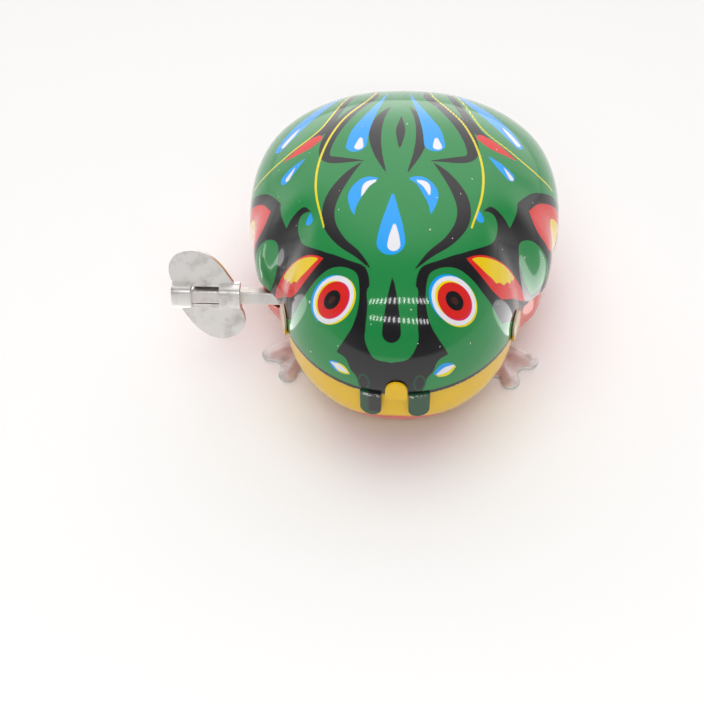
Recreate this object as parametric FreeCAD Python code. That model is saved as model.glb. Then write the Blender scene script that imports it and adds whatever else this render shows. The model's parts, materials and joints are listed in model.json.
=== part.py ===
"""Clockwork hopping frog of printed tinplate, built as separate pieces round a wind-up movement.

Frame: +Z up, the frog looks along -Y, x = 0 is its plane of symmetry and z = 0 the ground.
The winding key is on the -X side. All sizes are in millimetres and angles in degrees.
"""

import FreeCAD
import Part
import math
import os

V = FreeCAD.Vector

# ---- tinplate shells -------------------------------------------------------
TIN = 0.4                 # sheet thickness of both shells
SEAM_GAP = 0.15           # clearance between the back shell and what it slips over
SEAM_Z = 16.0             # height of the back shell's lower edge
DOME_RISE = 20.6          # crown of the back above that edge
BELLY_Z = 4.0             # underside of the belly
BELLY_TOP = 17.5          # upper edge of the belly shell, hidden inside the back shell
BELLY_ROUND = 7.5         # bend radius from the belly's floor into its wall
# outline of the seam: angle from the nose, distance from the centre
SEAM_OUTLINE = [(0, 32.9), (10, 32.6), (21, 31.3), (32, 29.3), (43, 26.9), (51, 24.9), (59, 24.6),
                (69, 25.6), (80, 25.4), (87, 25.7), (94, 26.7), (103, 27.6), (115, 28.9), (128, 30.7),
                (143, 32.3), (160, 33.3), (180, 33.6)]
# the plain egg that the lobes of the seam fade into towards the crown
EGG_OUTLINE = [(0, 32.9), (30, 29.8), (60, 26.2), (90, 25.6), (120, 28.6), (150, 32.0), (180, 33.6)]
# fullness of the dome's profile by direction: 2 is an ellipse, more is squarer
DOME_FULLNESS = [(0, 2.6), (45, 2.4), (90, 2.45), (130, 2.65), (155, 2.4), (180, 2.15)]
# embossed bulges: direction, its spread, level up the dome, its spread, height
HAUNCH = (116.0, 24.0, 30.0, 20.0, 1.0)
SHOULDER = (75.0, 11.0, 18.0, 14.0, 0.7)
DOME_LEVELS = (0, 5, 11, 18, 26, 35, 45, 56, 67, 78, 85)
SECTION_POINTS = 48

# ---- tabs that hold the shells together ------------------------------------
TAB_LAP = 0.15            # air between a folded tab and the sheet under it
LIP_TAB = (3.4, 3.6)      # width and reach of the belly's tab over the lip
NECK_TAB = (3.6, 4.2)     # width and reach of the belly's tabs at the neck
NECK_ANGLE = 45.0         # direction of the neck tabs
TONGUE = (3.2, 5.4)       # width and reach of the back shell's tongues over the chin
TONGUE_X = 3.7            # distance of each chin tongue from the centre plane

# ---- movement --------------------------------------------------------------
PLATE_X = 9.0             # inner face of each side plate
PLATE_T = 0.8
PLATE_ROUND = 1.2         # corner radius of the plates
PLATE_CLEAR = 0.05        # radial clearance of every running journal
PILLAR_R = 1.1
PILLAR_NUT_R = 1.7
PILLAR_NUT_T = 0.7
LUG = (2.4, 1.3)          # length along Y and outward reach of a plate's lug
LUG_T = 0.6               # thickness of the lug's bent end
LUG_Y = (-17.5, 11.0)     # place of each lug along a plate's foot
STOP_Y = 20.4             # rear end of the toe on each plate that the leg web rests under
SLOT_CLEAR = 0.15         # clearance of a lug in its slot

MODULE = 0.5              # gear tooth module
PRESSURE = 20.0
BACKLASH = 0.12
WHEEL_T = 0.8
GREAT_TEETH = 34
SECOND_TEETH = 30
PINION_TEETH = 10
WHEEL_ADDENDUM = 0.30
PINION_ADDENDUM = 0.45
DEDENDUM = 0.65

WIND_Y, WIND_Z = -11.0, 14.0      # axis of the winding arbor
SECOND_RISE = 30.0                # direction from the winding arbor to the second
CAM_RISE = -15.0                  # direction from the second arbor to the cam arbor
WIND_JOURNAL_R = 1.2
WIND_SQUARE = 2.3
ARBOR_R = 0.75
GREAT_X = -7.1                    # left face of the great wheel
RATCHET_T = 0.7
RATCHET_R = 3.6
RATCHET_TEETH = 12
RATCHET_DEPTH = 0.7
CLICK_PIVOT_R = 6.0
CLICK_T = 0.6
RIVET_R = 0.55
RIVET_HEAD = 1.8                      # radius of a small rivet head, in shank radii
CLICK_EYE_R = 1.2                     # round eye of the click
HUB_R = 2.0
SIDE_GAP = 0.25                   # air between neighbouring turning pieces
CLICK_NOSE = [(SIDE_GAP, 112), (SIDE_GAP + 1.1, 108)]   # (reach over the ratchet, direction) of the nose
SPRING_W = 8.0
SPRING_T = 0.35
SPRING_TURNS = 7
SPRING_R = 8.1
PINION_SPAN = 2.6
CAM_T = 1.2
CAM_LOBES = 4
CAM_TIP_R = 6.0
CAM_ROOT_R = 3.2
CAM_X = 1.0                       # left face of the kick cam
# one lobe of the cam: (share of the pitch, radius)
CAM_LOBE = [(-0.36, CAM_ROOT_R), (-0.04, CAM_ROOT_R), (0.36, CAM_ROOT_R), (0.46, CAM_TIP_R),
            (0.53, CAM_TIP_R)]

# ---- key -------------------------------------------------------------------
KEY_INNER_X = -27.0
KEY_LENGTH = 11.6
KEY_T = 0.8
# outline of one wing from its outer root round to its inner root, from the key's middle
KEY_WING = [(-5.2, 1.9), (-6.0, 2.8), (-6.3, 4.1), (-6.1, 5.6), (-5.2, 7.0), (-3.8, 7.9), (-2.0, 8.3),
            (-0.2, 7.9), (1.5, 6.9), (2.9, 5.4), (3.9, 3.8), (4.6, 2.4), (5.0, 1.9)]
KEY_ENDS = (3.3, 3.6)                 # lengths of the outer and inner bands over the arbor
KEY_TILT = -20.0                  # turn of the wings about +X from upright, at rest: the top leans back
KEY_GAP = 0.02
KEY_HOLE_GAP = 0.3                # air round the square arbor where it leaves the belly

# ---- legs ------------------------------------------------------------------
LEG_T = 0.6
FRONT_Y = -9.5                    # middle of the front leg strip
FRONT_STRIP_W = 5.0
FRONT_STRIP_X = 14.5              # where the strip bends down
FRONT_RIVET_X = 11.2
FOOT_WEB = 0.84                   # reach of the web between two toes, as a share of the toes' reach
HEAD_R = 1.4
HEAD_T = 0.5
HIND_Y, HIND_Z = 14.5, 8.5        # hinge of the hind legs
HIND_EAR_X = 7.2                  # outer face of each ear
HIND_EAR_R = 2.0
HIND_WEB_Y = (18.6, 21.4)
HIND_WEB_Z = 6.4
STOP_GAP = 0.3                    # air between the leg web and the plates' stop, at rest
ARM_X = (8.6, 13.6)
ARM_FOOT_Y = 26.0
LEAF_T = 0.3
LEAF_W = 3.0
LEAF_RIVET_R = 0.45
LEAF_RIVET_Y = 1.6           # place of the leaf's rivet behind the front edge of the web
PIN_R = 0.8
LEG_SPRING = (4, 0.25, PIN_R + 0.5, 0.62, 3.4)   # turns, wire and coil radius, pitch, left end
BELLY_OPENING = (14.6, 15.0, 26.5, 8.0)   # half width, front, rear and height of the leg opening

FLOOR_Z = BELLY_Z + TIN
SECOND_Y = WIND_Y + MODULE * (GREAT_TEETH + PINION_TEETH) / 2 * math.cos(math.radians(SECOND_RISE))
SECOND_Z = WIND_Z + MODULE * (GREAT_TEETH + PINION_TEETH) / 2 * math.sin(math.radians(SECOND_RISE))
CAM_Y = SECOND_Y + MODULE * (SECOND_TEETH + PINION_TEETH) / 2 * math.cos(math.radians(CAM_RISE))
CAM_Z = SECOND_Z + MODULE * (SECOND_TEETH + PINION_TEETH) / 2 * math.sin(math.radians(CAM_RISE))


# ---- the shells' surface ---------------------------------------------------
def smooth(table, angle):
    """Value of a table of (angle, value) at an angle, smooth and symmetric about the centre plane."""
    angle = abs((angle + 180) % 360 - 180)
    mirrored = [(-table[1][0], table[1][1])] + table + [(360 - table[-2][0], table[-2][1])]
    for before, low, high, after in zip(mirrored, mirrored[1:], mirrored[2:], mirrored[3:]):
        if low[0] <= angle <= high[0]:
            span = high[0] - low[0]
            s = (angle - low[0]) / span
            rise_low = (high[1] - before[1]) / (high[0] - before[0]) * span
            rise_high = (after[1] - low[1]) / (after[0] - low[0]) * span
            return ((2 * s ** 3 - 3 * s * s + 1) * low[1] + (s ** 3 - 2 * s * s + s) * rise_low
                    + (3 * s * s - 2 * s ** 3) * high[1] + (s ** 3 - s * s) * rise_high)


def bulge(shape, angle, level):
    """Height of an embossed bulge at a direction and level of the dome."""
    centre, spread, at_level, level_spread, height = shape
    angle = abs((angle + 180) % 360 - 180)
    return height * math.exp(-((angle - centre) / spread) ** 2 - ((level - at_level) / level_spread) ** 2)


def dome_radius(angle, level, out=0.0):
    """Distance of the back's surface from the centre line, set outwards by out."""
    share = math.cos(math.radians(level)) ** (2 / smooth(DOME_FULLNESS, angle))
    fade = min(max((share - 0.45) / 0.5, 0), 1)
    fade = fade * fade * (3 - 2 * fade)
    egg = smooth(EGG_OUTLINE, angle)
    edge = egg + (smooth(SEAM_OUTLINE, angle) - egg) * fade + out
    return edge * share + bulge(HAUNCH, angle, level) + bulge(SHOULDER, angle, level)


def section(radius, z):
    """Closed smooth wire at height z from a radius for each direction."""
    points = []
    for k in range(SECTION_POINTS):
        angle = 360.0 * k / SECTION_POINTS
        r = radius(angle)
        points.append(V(r * math.sin(math.radians(angle)), -r * math.cos(math.radians(angle)), z))
    curve = Part.BSplineCurve()
    curve.interpolate(points, PeriodicFlag=True)
    return Part.Wire(curve.toShape())


def dome_loft(out=0.0):
    """Open surface of the back, set outwards by out, from the seam up to the crown."""
    wires = [section(lambda a, lv=level: dome_radius(a, lv, out),
                     SEAM_Z + (DOME_RISE + out) * math.sin(math.radians(level))) for level in DOME_LEVELS]
    crown = Part.Vertex(V(0, 0, SEAM_Z + DOME_RISE + out))
    return wires[0], Part.makeLoft(wires + [crown], False, False).Faces


def belly_loft(out=0.0, top=BELLY_TOP):
    """Surface of the belly with its flat floor, set outwards by out, up to the height top."""
    floor = BELLY_Z - out
    bend = BELLY_ROUND + out
    heights = [floor + bend * (1 - math.cos(math.radians(a))) for a in (0, 12, 28, 44, 60, 76, 90)]
    wires = []
    for z in heights + [(heights[-1] + top) / 2, top]:
        drop = max(bend - (z - floor), 0)
        inset = TIN + SEAM_GAP - out + bend - math.sqrt(bend * bend - drop * drop)
        wires.append(section(lambda a, d=inset: smooth(SEAM_OUTLINE, a) - d, z))
    return wires[-1], Part.makeLoft(wires, False, False).Faces + [Part.Face(wires[0])]


def skin(outer, inner):
    """Sheet between two lofts that share the level of their open edge."""
    (outer_edge, outer_faces), (inner_edge, inner_faces) = outer, inner
    rim = Part.Face(outer_edge).cut(Part.Face(inner_edge)).Faces
    shell = Part.Shell(outer_faces + inner_faces + rim)
    shell.sewShape()
    solid = Part.Solid(shell)
    return solid if solid.Volume > 0 else solid.reversed()


def seam_band(inner_out, outer_out, z0, z1):
    """Band that follows the seam's outline between two offsets, from z0 to z1."""
    outer, inner = (Part.Face(section(lambda a, d=out: smooth(SEAM_OUTLINE, a) + d, z0))
                    for out in (outer_out, inner_out))
    return outer.cut(inner).extrude(V(0, 0, z1 - z0))


# ---- small helpers ---------------------------------------------------------
def box(x0, x1, y0, y1, z0, z1):
    """Box between two corners."""
    return Part.makeBox(x1 - x0, y1 - y0, z1 - z0, V(x0, y0, z0))


def rod(r, x0, x1, y, z):
    """Round bar along X."""
    return Part.makeCylinder(r, x1 - x0, V(x0, y, z), V(1, 0, 0))


def upright(r, x, y, z0, z1):
    """Round bar along Z."""
    return Part.makeCylinder(r, z1 - z0, V(x, y, z0), V(0, 0, 1))


def slab(points, x0, x1):
    """Plate with an outline of (y, z) points, from x0 to x1."""
    wire = Part.makePolygon([V(x0, y, z) for y, z in points + points[:1]])
    return Part.Face(wire).extrude(V(x1 - x0, 0, 0))


def mirrored(shape):
    """The same shape on the other side of the centre plane."""
    return shape.mirror(V(0, 0, 0), V(1, 0, 0))


def one(shape):
    """The single solid of a boolean's result."""
    return shape.removeSplitter().Solids[0]


def round_edges(shape, radius, chosen):
    """Fillets the straight edges that a test picks."""
    edges = [e for e in shape.Edges if isinstance(e.Curve, Part.Line) and chosen(e)]
    return shape.makeFillet(radius, edges) if edges else shape


def tab_outline(width, reach, start):
    """Tongue of a width with a round end, in the plane y = 0: from z = start up to start + reach."""
    half = width / 2
    body = box(-half, half, -10, 10, start, start + reach - half)
    end = Part.makeCylinder(half, 20, V(0, -10, start + reach - half), V(0, 1, 0))
    return body.fuse(end)


def turned(shape, angle):
    """A shape made at the nose, moved round the centre line by an angle."""
    copy = shape.copy()
    copy.rotate(V(0, 0, 0), V(0, 0, 1), angle)
    return copy


# ---- shells ----------------------------------------------------------------
def back_tongues():
    """The back shell's tongues: two over the chin and one over the tail."""
    lap = TIN + SEAM_GAP
    low, high = belly_loft(lap, SEAM_Z + TIN), belly_loft(lap - TIN, SEAM_Z + TIN)
    sleeve = skin(low, high)
    width, reach = TONGUE
    found = []
    for x, facing in ((-TONGUE_X, 0), (TONGUE_X, 0), (0, 180)):
        strip = tab_outline(width, reach + TIN, 0)
        strip.rotate(V(0, 0, 0), V(0, 1, 0), 180)
        strip.translate(V(x, -SEAM_OUTLINE[0][1], SEAM_Z + TIN))
        found.append(sleeve.common(turned(strip, facing)))
    return found


def back_shell():
    """Upper shell: the back with head, shoulders and haunches, and its tongues."""
    return one(skin(dome_loft(), dome_loft(-TIN)).fuse(back_tongues()))


def seam_tabs():
    """Tabs of the belly shell that come out under the seam and fold up over the back shell."""
    low = SEAM_Z - TAB_LAP - TIN
    lap = TAB_LAP + TIN
    folded = skin(dome_loft(lap), dome_loft(TAB_LAP))
    step = seam_band(-lap - TIN, lap, low, low + TIN)
    riser = seam_band(TAB_LAP, lap, low, SEAM_Z)
    found = []
    for (width, reach), angle in ((LIP_TAB, 0), (NECK_TAB, NECK_ANGLE), (NECK_TAB, -NECK_ANGLE)):
        strip = tab_outline(width, reach, low)
        strip.translate(V(0, -smooth(SEAM_OUTLINE, angle), 0))
        strip = turned(strip, angle)
        found += [part.common(strip) for part in (folded, step, riser)]
    return found


def belly_shell():
    """Lower shell: belly and chin, with its tabs, lug slots, leg opening and key hole."""
    half, front, rear, height = BELLY_OPENING
    holes = [box(-half, half, front, rear, BELLY_Z - 1, height),
             rod(WIND_SQUARE / math.sqrt(2) + KEY_HOLE_GAP, -40, 0, WIND_Y, WIND_Z)]
    wide = PLATE_T / 2 + SLOT_CLEAR
    long = LUG[0] / 2 + SLOT_CLEAR
    for y in LUG_Y:
        for x in (-PLATE_X - PLATE_T / 2, PLATE_X + PLATE_T / 2):
            holes.append(box(x - wide, x + wide, y - long, y + long, BELLY_Z - 1, FLOOR_Z + 1))
    for x in (-FRONT_RIVET_X, FRONT_RIVET_X):
        holes.append(upright(RIVET_R, x, FRONT_Y, BELLY_Z - 1, FLOOR_Z + 1))
    shell = skin(belly_loft(), belly_loft(-TIN)).cut(holes)
    return one(shell.fuse(seam_tabs()))


# ---- movement frame --------------------------------------------------------
def pillar_places():
    """(name, y, z) of each pillar between the plates."""
    return (("spring_post", WIND_Y - 8.6, WIND_Z + 6.4), ("top_pillar", -4.0, 29.0),
            ("rear_pillar", 13.6, 23.4), ("front_pillar", -19.2, 6.8))


def side_plate(side):
    """One side plate with its journals, pillar holes and the lugs that grip the belly."""
    x0, x1 = sorted((side * PLATE_X, side * (PLATE_X + PLATE_T)))
    stop_z = HIND_WEB_Z + STOP_GAP
    outline = [(-20.0, FLOOR_Z), (13.4, FLOOR_Z), (17.2, stop_z), (STOP_Y, stop_z), (STOP_Y, stop_z + 2.4),
               (16.9, 12.0), (16.9, 21.0), (14.5, 25.4), (6.0, 27.4), (-1.0, 31.2), (-7.0, 31.2),
               (-21.6, 23.4), (-21.6, 6.4)]
    plate = slab(outline, x0, x1)
    plate = round_edges(plate, PLATE_ROUND, lambda e: abs(e.tangentAt(0).x) > 0.9 and e.CenterOfMass.z > 10)
    for _, y, z in pillar_places():
        plate = plate.cut(rod(PILLAR_R * 0.7, x0 - 1, x1 + 1, y, z))
    for r, y, z in ((WIND_JOURNAL_R, WIND_Y, WIND_Z), (ARBOR_R, SECOND_Y, SECOND_Z), (ARBOR_R, CAM_Y, CAM_Z)):
        plate = plate.cut(rod(r + PLATE_CLEAR, x0 - 1, x1 + 1, y, z))
    plate = plate.cut(rod(PIN_R, x0 - 1, x1 + 1, HIND_Y, HIND_Z))
    tip = BELLY_Z - TAB_LAP
    reach = side * (PLATE_X + PLATE_T + LUG[1])
    for y in LUG_Y:
        half = LUG[0] / 2
        stem = box(x0, x1, y - half, y + half, tip - LUG_T, FLOOR_Z)
        bent = box(min(reach, x0), max(reach, x1), y - half, y + half, tip - LUG_T, tip)
        plate = plate.fuse([stem, bent])
    return one(plate)


def pillar(y, z):
    """Turned pillar with a riveted end through each plate."""
    body = rod(PILLAR_R, -PLATE_X, PLATE_X, y, z)
    spigot = rod(PILLAR_R * 0.7, -PLATE_X - PLATE_T, PLATE_X + PLATE_T, y, z)
    heads = [rod(PILLAR_NUT_R, x, x + PILLAR_NUT_T, y, z)
             for x in (-PLATE_X - PLATE_T - PILLAR_NUT_T, PLATE_X + PLATE_T)]
    return one(body.fuse([spigot] + heads))


# ---- gears -----------------------------------------------------------------
def flank(base_r, r, teeth):
    """Half angle in radians of a tooth at radius r, with the backlash taken off."""
    pitch_r = MODULE * teeth / 2
    involute = math.tan(math.radians(PRESSURE)) - math.radians(PRESSURE)
    half = math.pi / (2 * teeth) - BACKLASH / (4 * pitch_r) + involute
    if r <= base_r:
        return half
    lean = math.acos(base_r / r)
    return half - (math.tan(lean) - lean)


def gear(teeth, addendum, x0, x1, y, z, bore, tooth_at):
    """Spur gear along X with one tooth centred on the direction tooth_at, from +Y towards +Z."""
    pitch_r = MODULE * teeth / 2
    base_r = pitch_r * math.cos(math.radians(PRESSURE))
    root_r = pitch_r - DEDENDUM
    tip_r = pitch_r + addendum
    middle_r = (max(base_r, root_r) + tip_r) / 2
    radii = (root_r, max(base_r, root_r), middle_r, tip_r)
    points = []
    for k in range(teeth):
        centre = math.radians(tooth_at) + 2 * math.pi * k / teeth
        sides = [(r, centre - flank(base_r, r, teeth)) for r in radii]
        sides += [(r, 2 * centre - a) for r, a in reversed(sides)]
        points += [(y + r * math.cos(a), z + r * math.sin(a)) for r, a in sides]
    return slab(points, x0, x1).cut(rod(bore, x0 - 1, x1 + 1, y, z))


def great_wheel():
    """Wheel that the mainspring drives through the click, free on the winding arbor."""
    x1 = GREAT_X + WHEEL_T
    wheel = gear(GREAT_TEETH, WHEEL_ADDENDUM, GREAT_X, x1, WIND_Y, WIND_Z,
                 WIND_JOURNAL_R + PLATE_CLEAR, SECOND_RISE)
    return one(wheel.cut(rod(RIVET_R, GREAT_X - 1, x1 + 1, *click_pivot())))


def click_pivot():
    """(y, z) of the click's rivet on the great wheel."""
    angle = math.radians(150)
    return WIND_Y + CLICK_PIVOT_R * math.cos(angle), WIND_Z + CLICK_PIVOT_R * math.sin(angle)


def ratchet_points():
    """Outline of the ratchet wheel's saw teeth, as (y, z)."""
    points = []
    for k in range(RATCHET_TEETH):
        angle = 2 * math.pi * k / RATCHET_TEETH
        for r in (RATCHET_R, RATCHET_R - RATCHET_DEPTH):
            points.append((WIND_Y + r * math.cos(angle), WIND_Z + r * math.sin(angle)))
    return points


def ratchet_wheel():
    """Ratchet wheel fast on the winding arbor."""
    x0 = GREAT_X + WHEEL_T + SIDE_GAP
    return one(slab(ratchet_points(), x0, x0 + RATCHET_T).cut(
        rod(WIND_JOURNAL_R, x0 - 1, x0 + 2, WIND_Y, WIND_Z)))


def click():
    """Pawl on the great wheel, its nose clear of the ratchet's tips while the spring is let down."""
    x0 = GREAT_X + WHEEL_T
    y, z = click_pivot()
    corners = [(RATCHET_R + reach, angle) for reach, angle in CLICK_NOSE]
    corners += [(CLICK_PIVOT_R + 1.0, 146), (CLICK_PIVOT_R - 1.0, 150)]
    nose = [(WIND_Y + r * math.cos(math.radians(a)), WIND_Z + r * math.sin(math.radians(a)))
            for r, a in corners]
    pawl = slab(nose, x0, x0 + CLICK_T).fuse(rod(CLICK_EYE_R, x0, x0 + CLICK_T, y, z))
    return one(pawl.cut(rod(RIVET_R, x0 - 1, x0 + 1, y, z)))


def click_rivet():
    """Rivet that the click turns on."""
    x0 = GREAT_X
    y, z = click_pivot()
    head_x = x0 + WHEEL_T + CLICK_T
    return one(rod(RIVET_R, x0, head_x, y, z).fuse(rod(RIVET_R * RIVET_HEAD, head_x, head_x + 0.35, y, z)))


def click_spring():
    """Bent strip on the great wheel that presses the click towards the ratchet."""
    x0 = GREAT_X + WHEEL_T
    outer = CLICK_PIVOT_R + 1.55
    ring = rod(outer, x0, x0 + CLICK_T, WIND_Y, WIND_Z)
    ring = ring.cut(rod(outer - 0.3, x0 - 1, x0 + 2, WIND_Y, WIND_Z))
    wedge = [(WIND_Y, WIND_Z)]
    for angle in (112, 140, 170):
        turn = math.radians(angle)
        wedge.append((WIND_Y + 12 * math.cos(turn), WIND_Z + 12 * math.sin(turn)))
    return one(ring.common(slab(wedge, x0, x0 + CLICK_T)))


def mainspring():
    """Flat spiral from the winding arbor to the spring post."""
    x0 = spring_x()
    start = WIND_JOURNAL_R + KEY_GAP
    steps = SPRING_TURNS * 24
    _, post_y, post_z = pillar_places()[0]
    post = math.atan2(post_z - WIND_Z, post_y - WIND_Y)
    hook_lift = math.hypot(post_z - WIND_Z, post_y - WIND_Y) - PILLAR_R - KEY_GAP - SPRING_R
    last = 2 * math.pi * SPRING_TURNS

    def spiral(extra):
        """Points of the strip's face that lies extra outside its inner face."""
        found = []
        for k in range(steps + 1):
            share = k / steps
            hook = max(0, (share - 1) * SPRING_TURNS * 4 + 1) ** 2
            r = start + (SPRING_R - start - SPRING_T) * share + hook_lift * hook + extra
            angle = post - last * (1 - share)
            found.append(V(x0, WIND_Y + r * math.cos(angle), WIND_Z + r * math.sin(angle)))
        return found

    inner, outer = Part.BSplineCurve(), Part.BSplineCurve()
    inner.interpolate(spiral(0))
    outer.interpolate(spiral(SPRING_T))
    ends = [Part.makeLine(outer.EndPoint, inner.EndPoint),
            Part.makeLine(inner.StartPoint, outer.StartPoint)]
    wire = Part.Wire(Part.__sortEdges__([inner.toShape(), outer.toShape()] + ends))
    return Part.Face(wire).extrude(V(SPRING_W, 0, 0))


def spring_x():
    """Left side of the mainspring."""
    return GREAT_X + WHEEL_T + SIDE_GAP + RATCHET_T + SIDE_GAP + PINION_SPAN + SIDE_GAP


# ---- arbors ----------------------------------------------------------------
def winding_arbor():
    """Arbor that the key turns: square outside the movement, round inside it."""
    left = -PLATE_X - PLATE_T
    journal = rod(WIND_JOURNAL_R, left - 0.6, PLATE_X + PLATE_T + 0.5, WIND_Y, WIND_Z)
    half = WIND_SQUARE / 2
    square = box(KEY_INNER_X - KEY_LENGTH + 0.4, left - 0.6, WIND_Y - half, WIND_Y + half,
                 WIND_Z - half, WIND_Z + half)
    square = round_edges(square, 0.35, lambda e: abs(e.tangentAt(0).x) > 0.9)
    square.rotate(V(0, WIND_Y, WIND_Z), V(1, 0, 0), KEY_TILT)
    return one(journal.fuse(square))


def arbor(y, z):
    """Plain arbor with a journal in each plate."""
    end = PLATE_X + PLATE_T + 0.3
    return rod(ARBOR_R, -end, end, y, z)


def pinion_turn(wheel_teeth, towards, tooth_at):
    """Direction of a pinion tooth that leaves a gap for the wheel's tooth at towards."""
    back = towards + 180
    offset = ((towards - tooth_at) / (360.0 / wheel_teeth)) % 1.0
    return back + (0.5 + offset) * 360.0 / PINION_TEETH


def second_pinion():
    """Pinion that the great wheel drives."""
    x0 = GREAT_X - SIDE_GAP
    return one(gear(PINION_TEETH, PINION_ADDENDUM, x0, x0 + PINION_SPAN, SECOND_Y, SECOND_Z, ARBOR_R,
                    pinion_turn(GREAT_TEETH, SECOND_RISE, SECOND_RISE)))


def second_wheel():
    """Wheel that drives the cam pinion."""
    x0 = GREAT_X - SIDE_GAP + PINION_SPAN
    return one(gear(SECOND_TEETH, WHEEL_ADDENDUM, x0, x0 + WHEEL_T, SECOND_Y, SECOND_Z, ARBOR_R, CAM_RISE))


def cam_pinion():
    """Pinion on the cam arbor."""
    x0 = GREAT_X - SIDE_GAP + PINION_SPAN - (PINION_SPAN - WHEEL_T) / 2
    return one(gear(PINION_TEETH, PINION_ADDENDUM, x0, x0 + PINION_SPAN, CAM_Y, CAM_Z, ARBOR_R,
                    pinion_turn(SECOND_TEETH, CAM_RISE, CAM_RISE)))


def kick_cam():
    """Star cam whose lobes flick the leaf of the hind legs."""
    points = []
    pitch = 360.0 / CAM_LOBES
    for k in range(CAM_LOBES):
        for share, r in CAM_LOBE:
            angle = math.radians((k + share) * pitch)
            points.append((CAM_Y + r * math.cos(angle), CAM_Z + r * math.sin(angle)))
    star = slab(points, CAM_X, CAM_X + CAM_T)
    star = star.fuse(rod(HUB_R, CAM_X - 1.0, CAM_X + CAM_T, CAM_Y, CAM_Z))
    return one(star.cut(rod(ARBOR_R, CAM_X - 2, CAM_X + CAM_T + 1, CAM_Y, CAM_Z)))


# ---- key -------------------------------------------------------------------
def key_band(x0, x1, lift):
    """Strip of the key bowed round the arbor, to the side that lift gives."""
    half = WIND_SQUARE / 2 + KEY_GAP
    outer = box(x0, x1, -half - KEY_T, half + KEY_T, -half - KEY_T, half + KEY_T)
    inner = box(x0 - 1, x1 + 1, -half, half, -half, half)
    tube = round_edges(outer, 0.6, lambda e: abs(e.tangentAt(0).x) > 0.9).cut(inner)
    keep = (-10, KEY_T / 2) if lift < 0 else (-KEY_T / 2, 10)
    return tube.common(box(x0 - 1, x1 + 1, keep[0], keep[1], -10, 10))


def wing_key():
    """Stamped key: one sheet with two wings, slit and bowed round the arbor in three bands."""
    left = KEY_INNER_X - KEY_LENGTH
    middle = (KEY_INNER_X + left) / 2
    root = WIND_SQUARE / 2 + KEY_GAP
    curve = Part.BSplineCurve()
    curve.interpolate([V(middle + x, KEY_T / 2, z) for x, z in KEY_WING])
    first, last = curve.StartPoint, curve.EndPoint
    foot_line = Part.makePolygon([last, V(last.x, last.y, root), V(first.x, first.y, root), first])
    wing = Part.Face(Part.Wire([curve.toShape()] + foot_line.Edges)).extrude(V(0, -KEY_T, 0))
    other = wing.copy()
    other.rotate(V(middle, 0, 0), V(0, 1, 0), 180)
    wings = [wing, other]
    ends = (left, left + KEY_ENDS[0], KEY_INNER_X - KEY_ENDS[1], KEY_INNER_X)
    bands = [key_band(ends[0], ends[1], -1), key_band(ends[1], ends[2], 1), key_band(ends[2], ends[3], -1)]
    blade = wings[0].fuse(wings[1:] + bands)
    blade = one(blade)
    blade.rotate(V(0, 0, 0), V(1, 0, 0), KEY_TILT)
    blade.translate(V(0, WIND_Y, WIND_Z))
    return blade


# ---- legs ------------------------------------------------------------------
def foot(heel, toes, web):
    """Webbed foot on the ground: straight heel, a round tip at each toe and a hollow web between them."""
    cx = sum(p[0] for p in heel) / len(heel)
    cy = sum(p[1] for p in heel) / len(heel)
    edges = [Part.makeLine(V(*heel[k], 0), V(*heel[k + 1], 0)) for k in range(len(heel) - 1)]
    last = V(*heel[-1], 0)
    for k, (x, y, r) in enumerate(toes):
        away = math.atan2(y - cy, x - cx)
        start, tip, end = [V(x + r * math.cos(away + a), y + r * math.sin(away + a), 0)
                           for a in (-math.pi / 2, 0, math.pi / 2)]
        if k:
            hollow = (last + start) * 0.5
            hollow = V(cx, cy, 0) + (hollow - V(cx, cy, 0)) * web
            edges.append(Part.Arc(last, hollow, start).toShape())
        else:
            edges.append(Part.makeLine(last, start))
        edges.append(Part.Arc(start, tip, end).toShape())
        last = end
    edges.append(Part.makeLine(last, V(*heel[0], 0)))
    return Part.Face(Part.Wire(edges)).extrude(V(0, 0, LEG_T))


def front_legs():
    """One stamped strip under the belly, bent down at each end to a webbed foot."""
    top = BELLY_Z - 0.02
    half = FRONT_STRIP_W / 2
    y0, y1 = FRONT_Y - half, FRONT_Y + half
    strip = box(-FRONT_STRIP_X, FRONT_STRIP_X, y0, y1, top - LEG_T, top)
    right = []
    knee = [(FRONT_STRIP_X - 0.4, top - LEG_T), (FRONT_STRIP_X - 0.4, top), (FRONT_STRIP_X + 0.2, top),
            (17.2, LEG_T), (17.2, 0), (16.4, 0)]
    wire = Part.makePolygon([V(x, y0, z) for x, z in knee + knee[:1]])
    right.append(Part.Face(wire).extrude(V(0, FRONT_STRIP_W, 0)))
    heel = [(16.4, y1 - 0.4), (16.4, y0 + 0.2)]
    toes = [(15.4, -16.4, 0.8), (19.4, -16.9, 0.9), (22.8, -12.3, 0.9)]
    right.append(foot(heel, toes, FOOT_WEB))
    pieces = right + [mirrored(p) for p in right]
    legs = strip.fuse(pieces)
    for x in (-FRONT_RIVET_X, FRONT_RIVET_X):
        legs = legs.cut(upright(RIVET_R, x, FRONT_Y, 0, FLOOR_Z))
    return one(legs)


def front_leg_rivets():
    """Two rivets that hold the front legs to the belly."""
    found = []
    for x in (-FRONT_RIVET_X, FRONT_RIVET_X):
        shank = upright(RIVET_R, x, FRONT_Y, BELLY_Z - LEG_T - 0.02, FLOOR_Z)
        low = upright(HEAD_R, x, FRONT_Y, BELLY_Z - LEG_T - 0.02 - HEAD_T, BELLY_Z - LEG_T - 0.02)
        high = upright(HEAD_R, x, FRONT_Y, FLOOR_Z, FLOOR_Z + HEAD_T)
        found.append(one(shank.fuse([low, high])))
    return Part.makeCompound(found)


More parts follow.
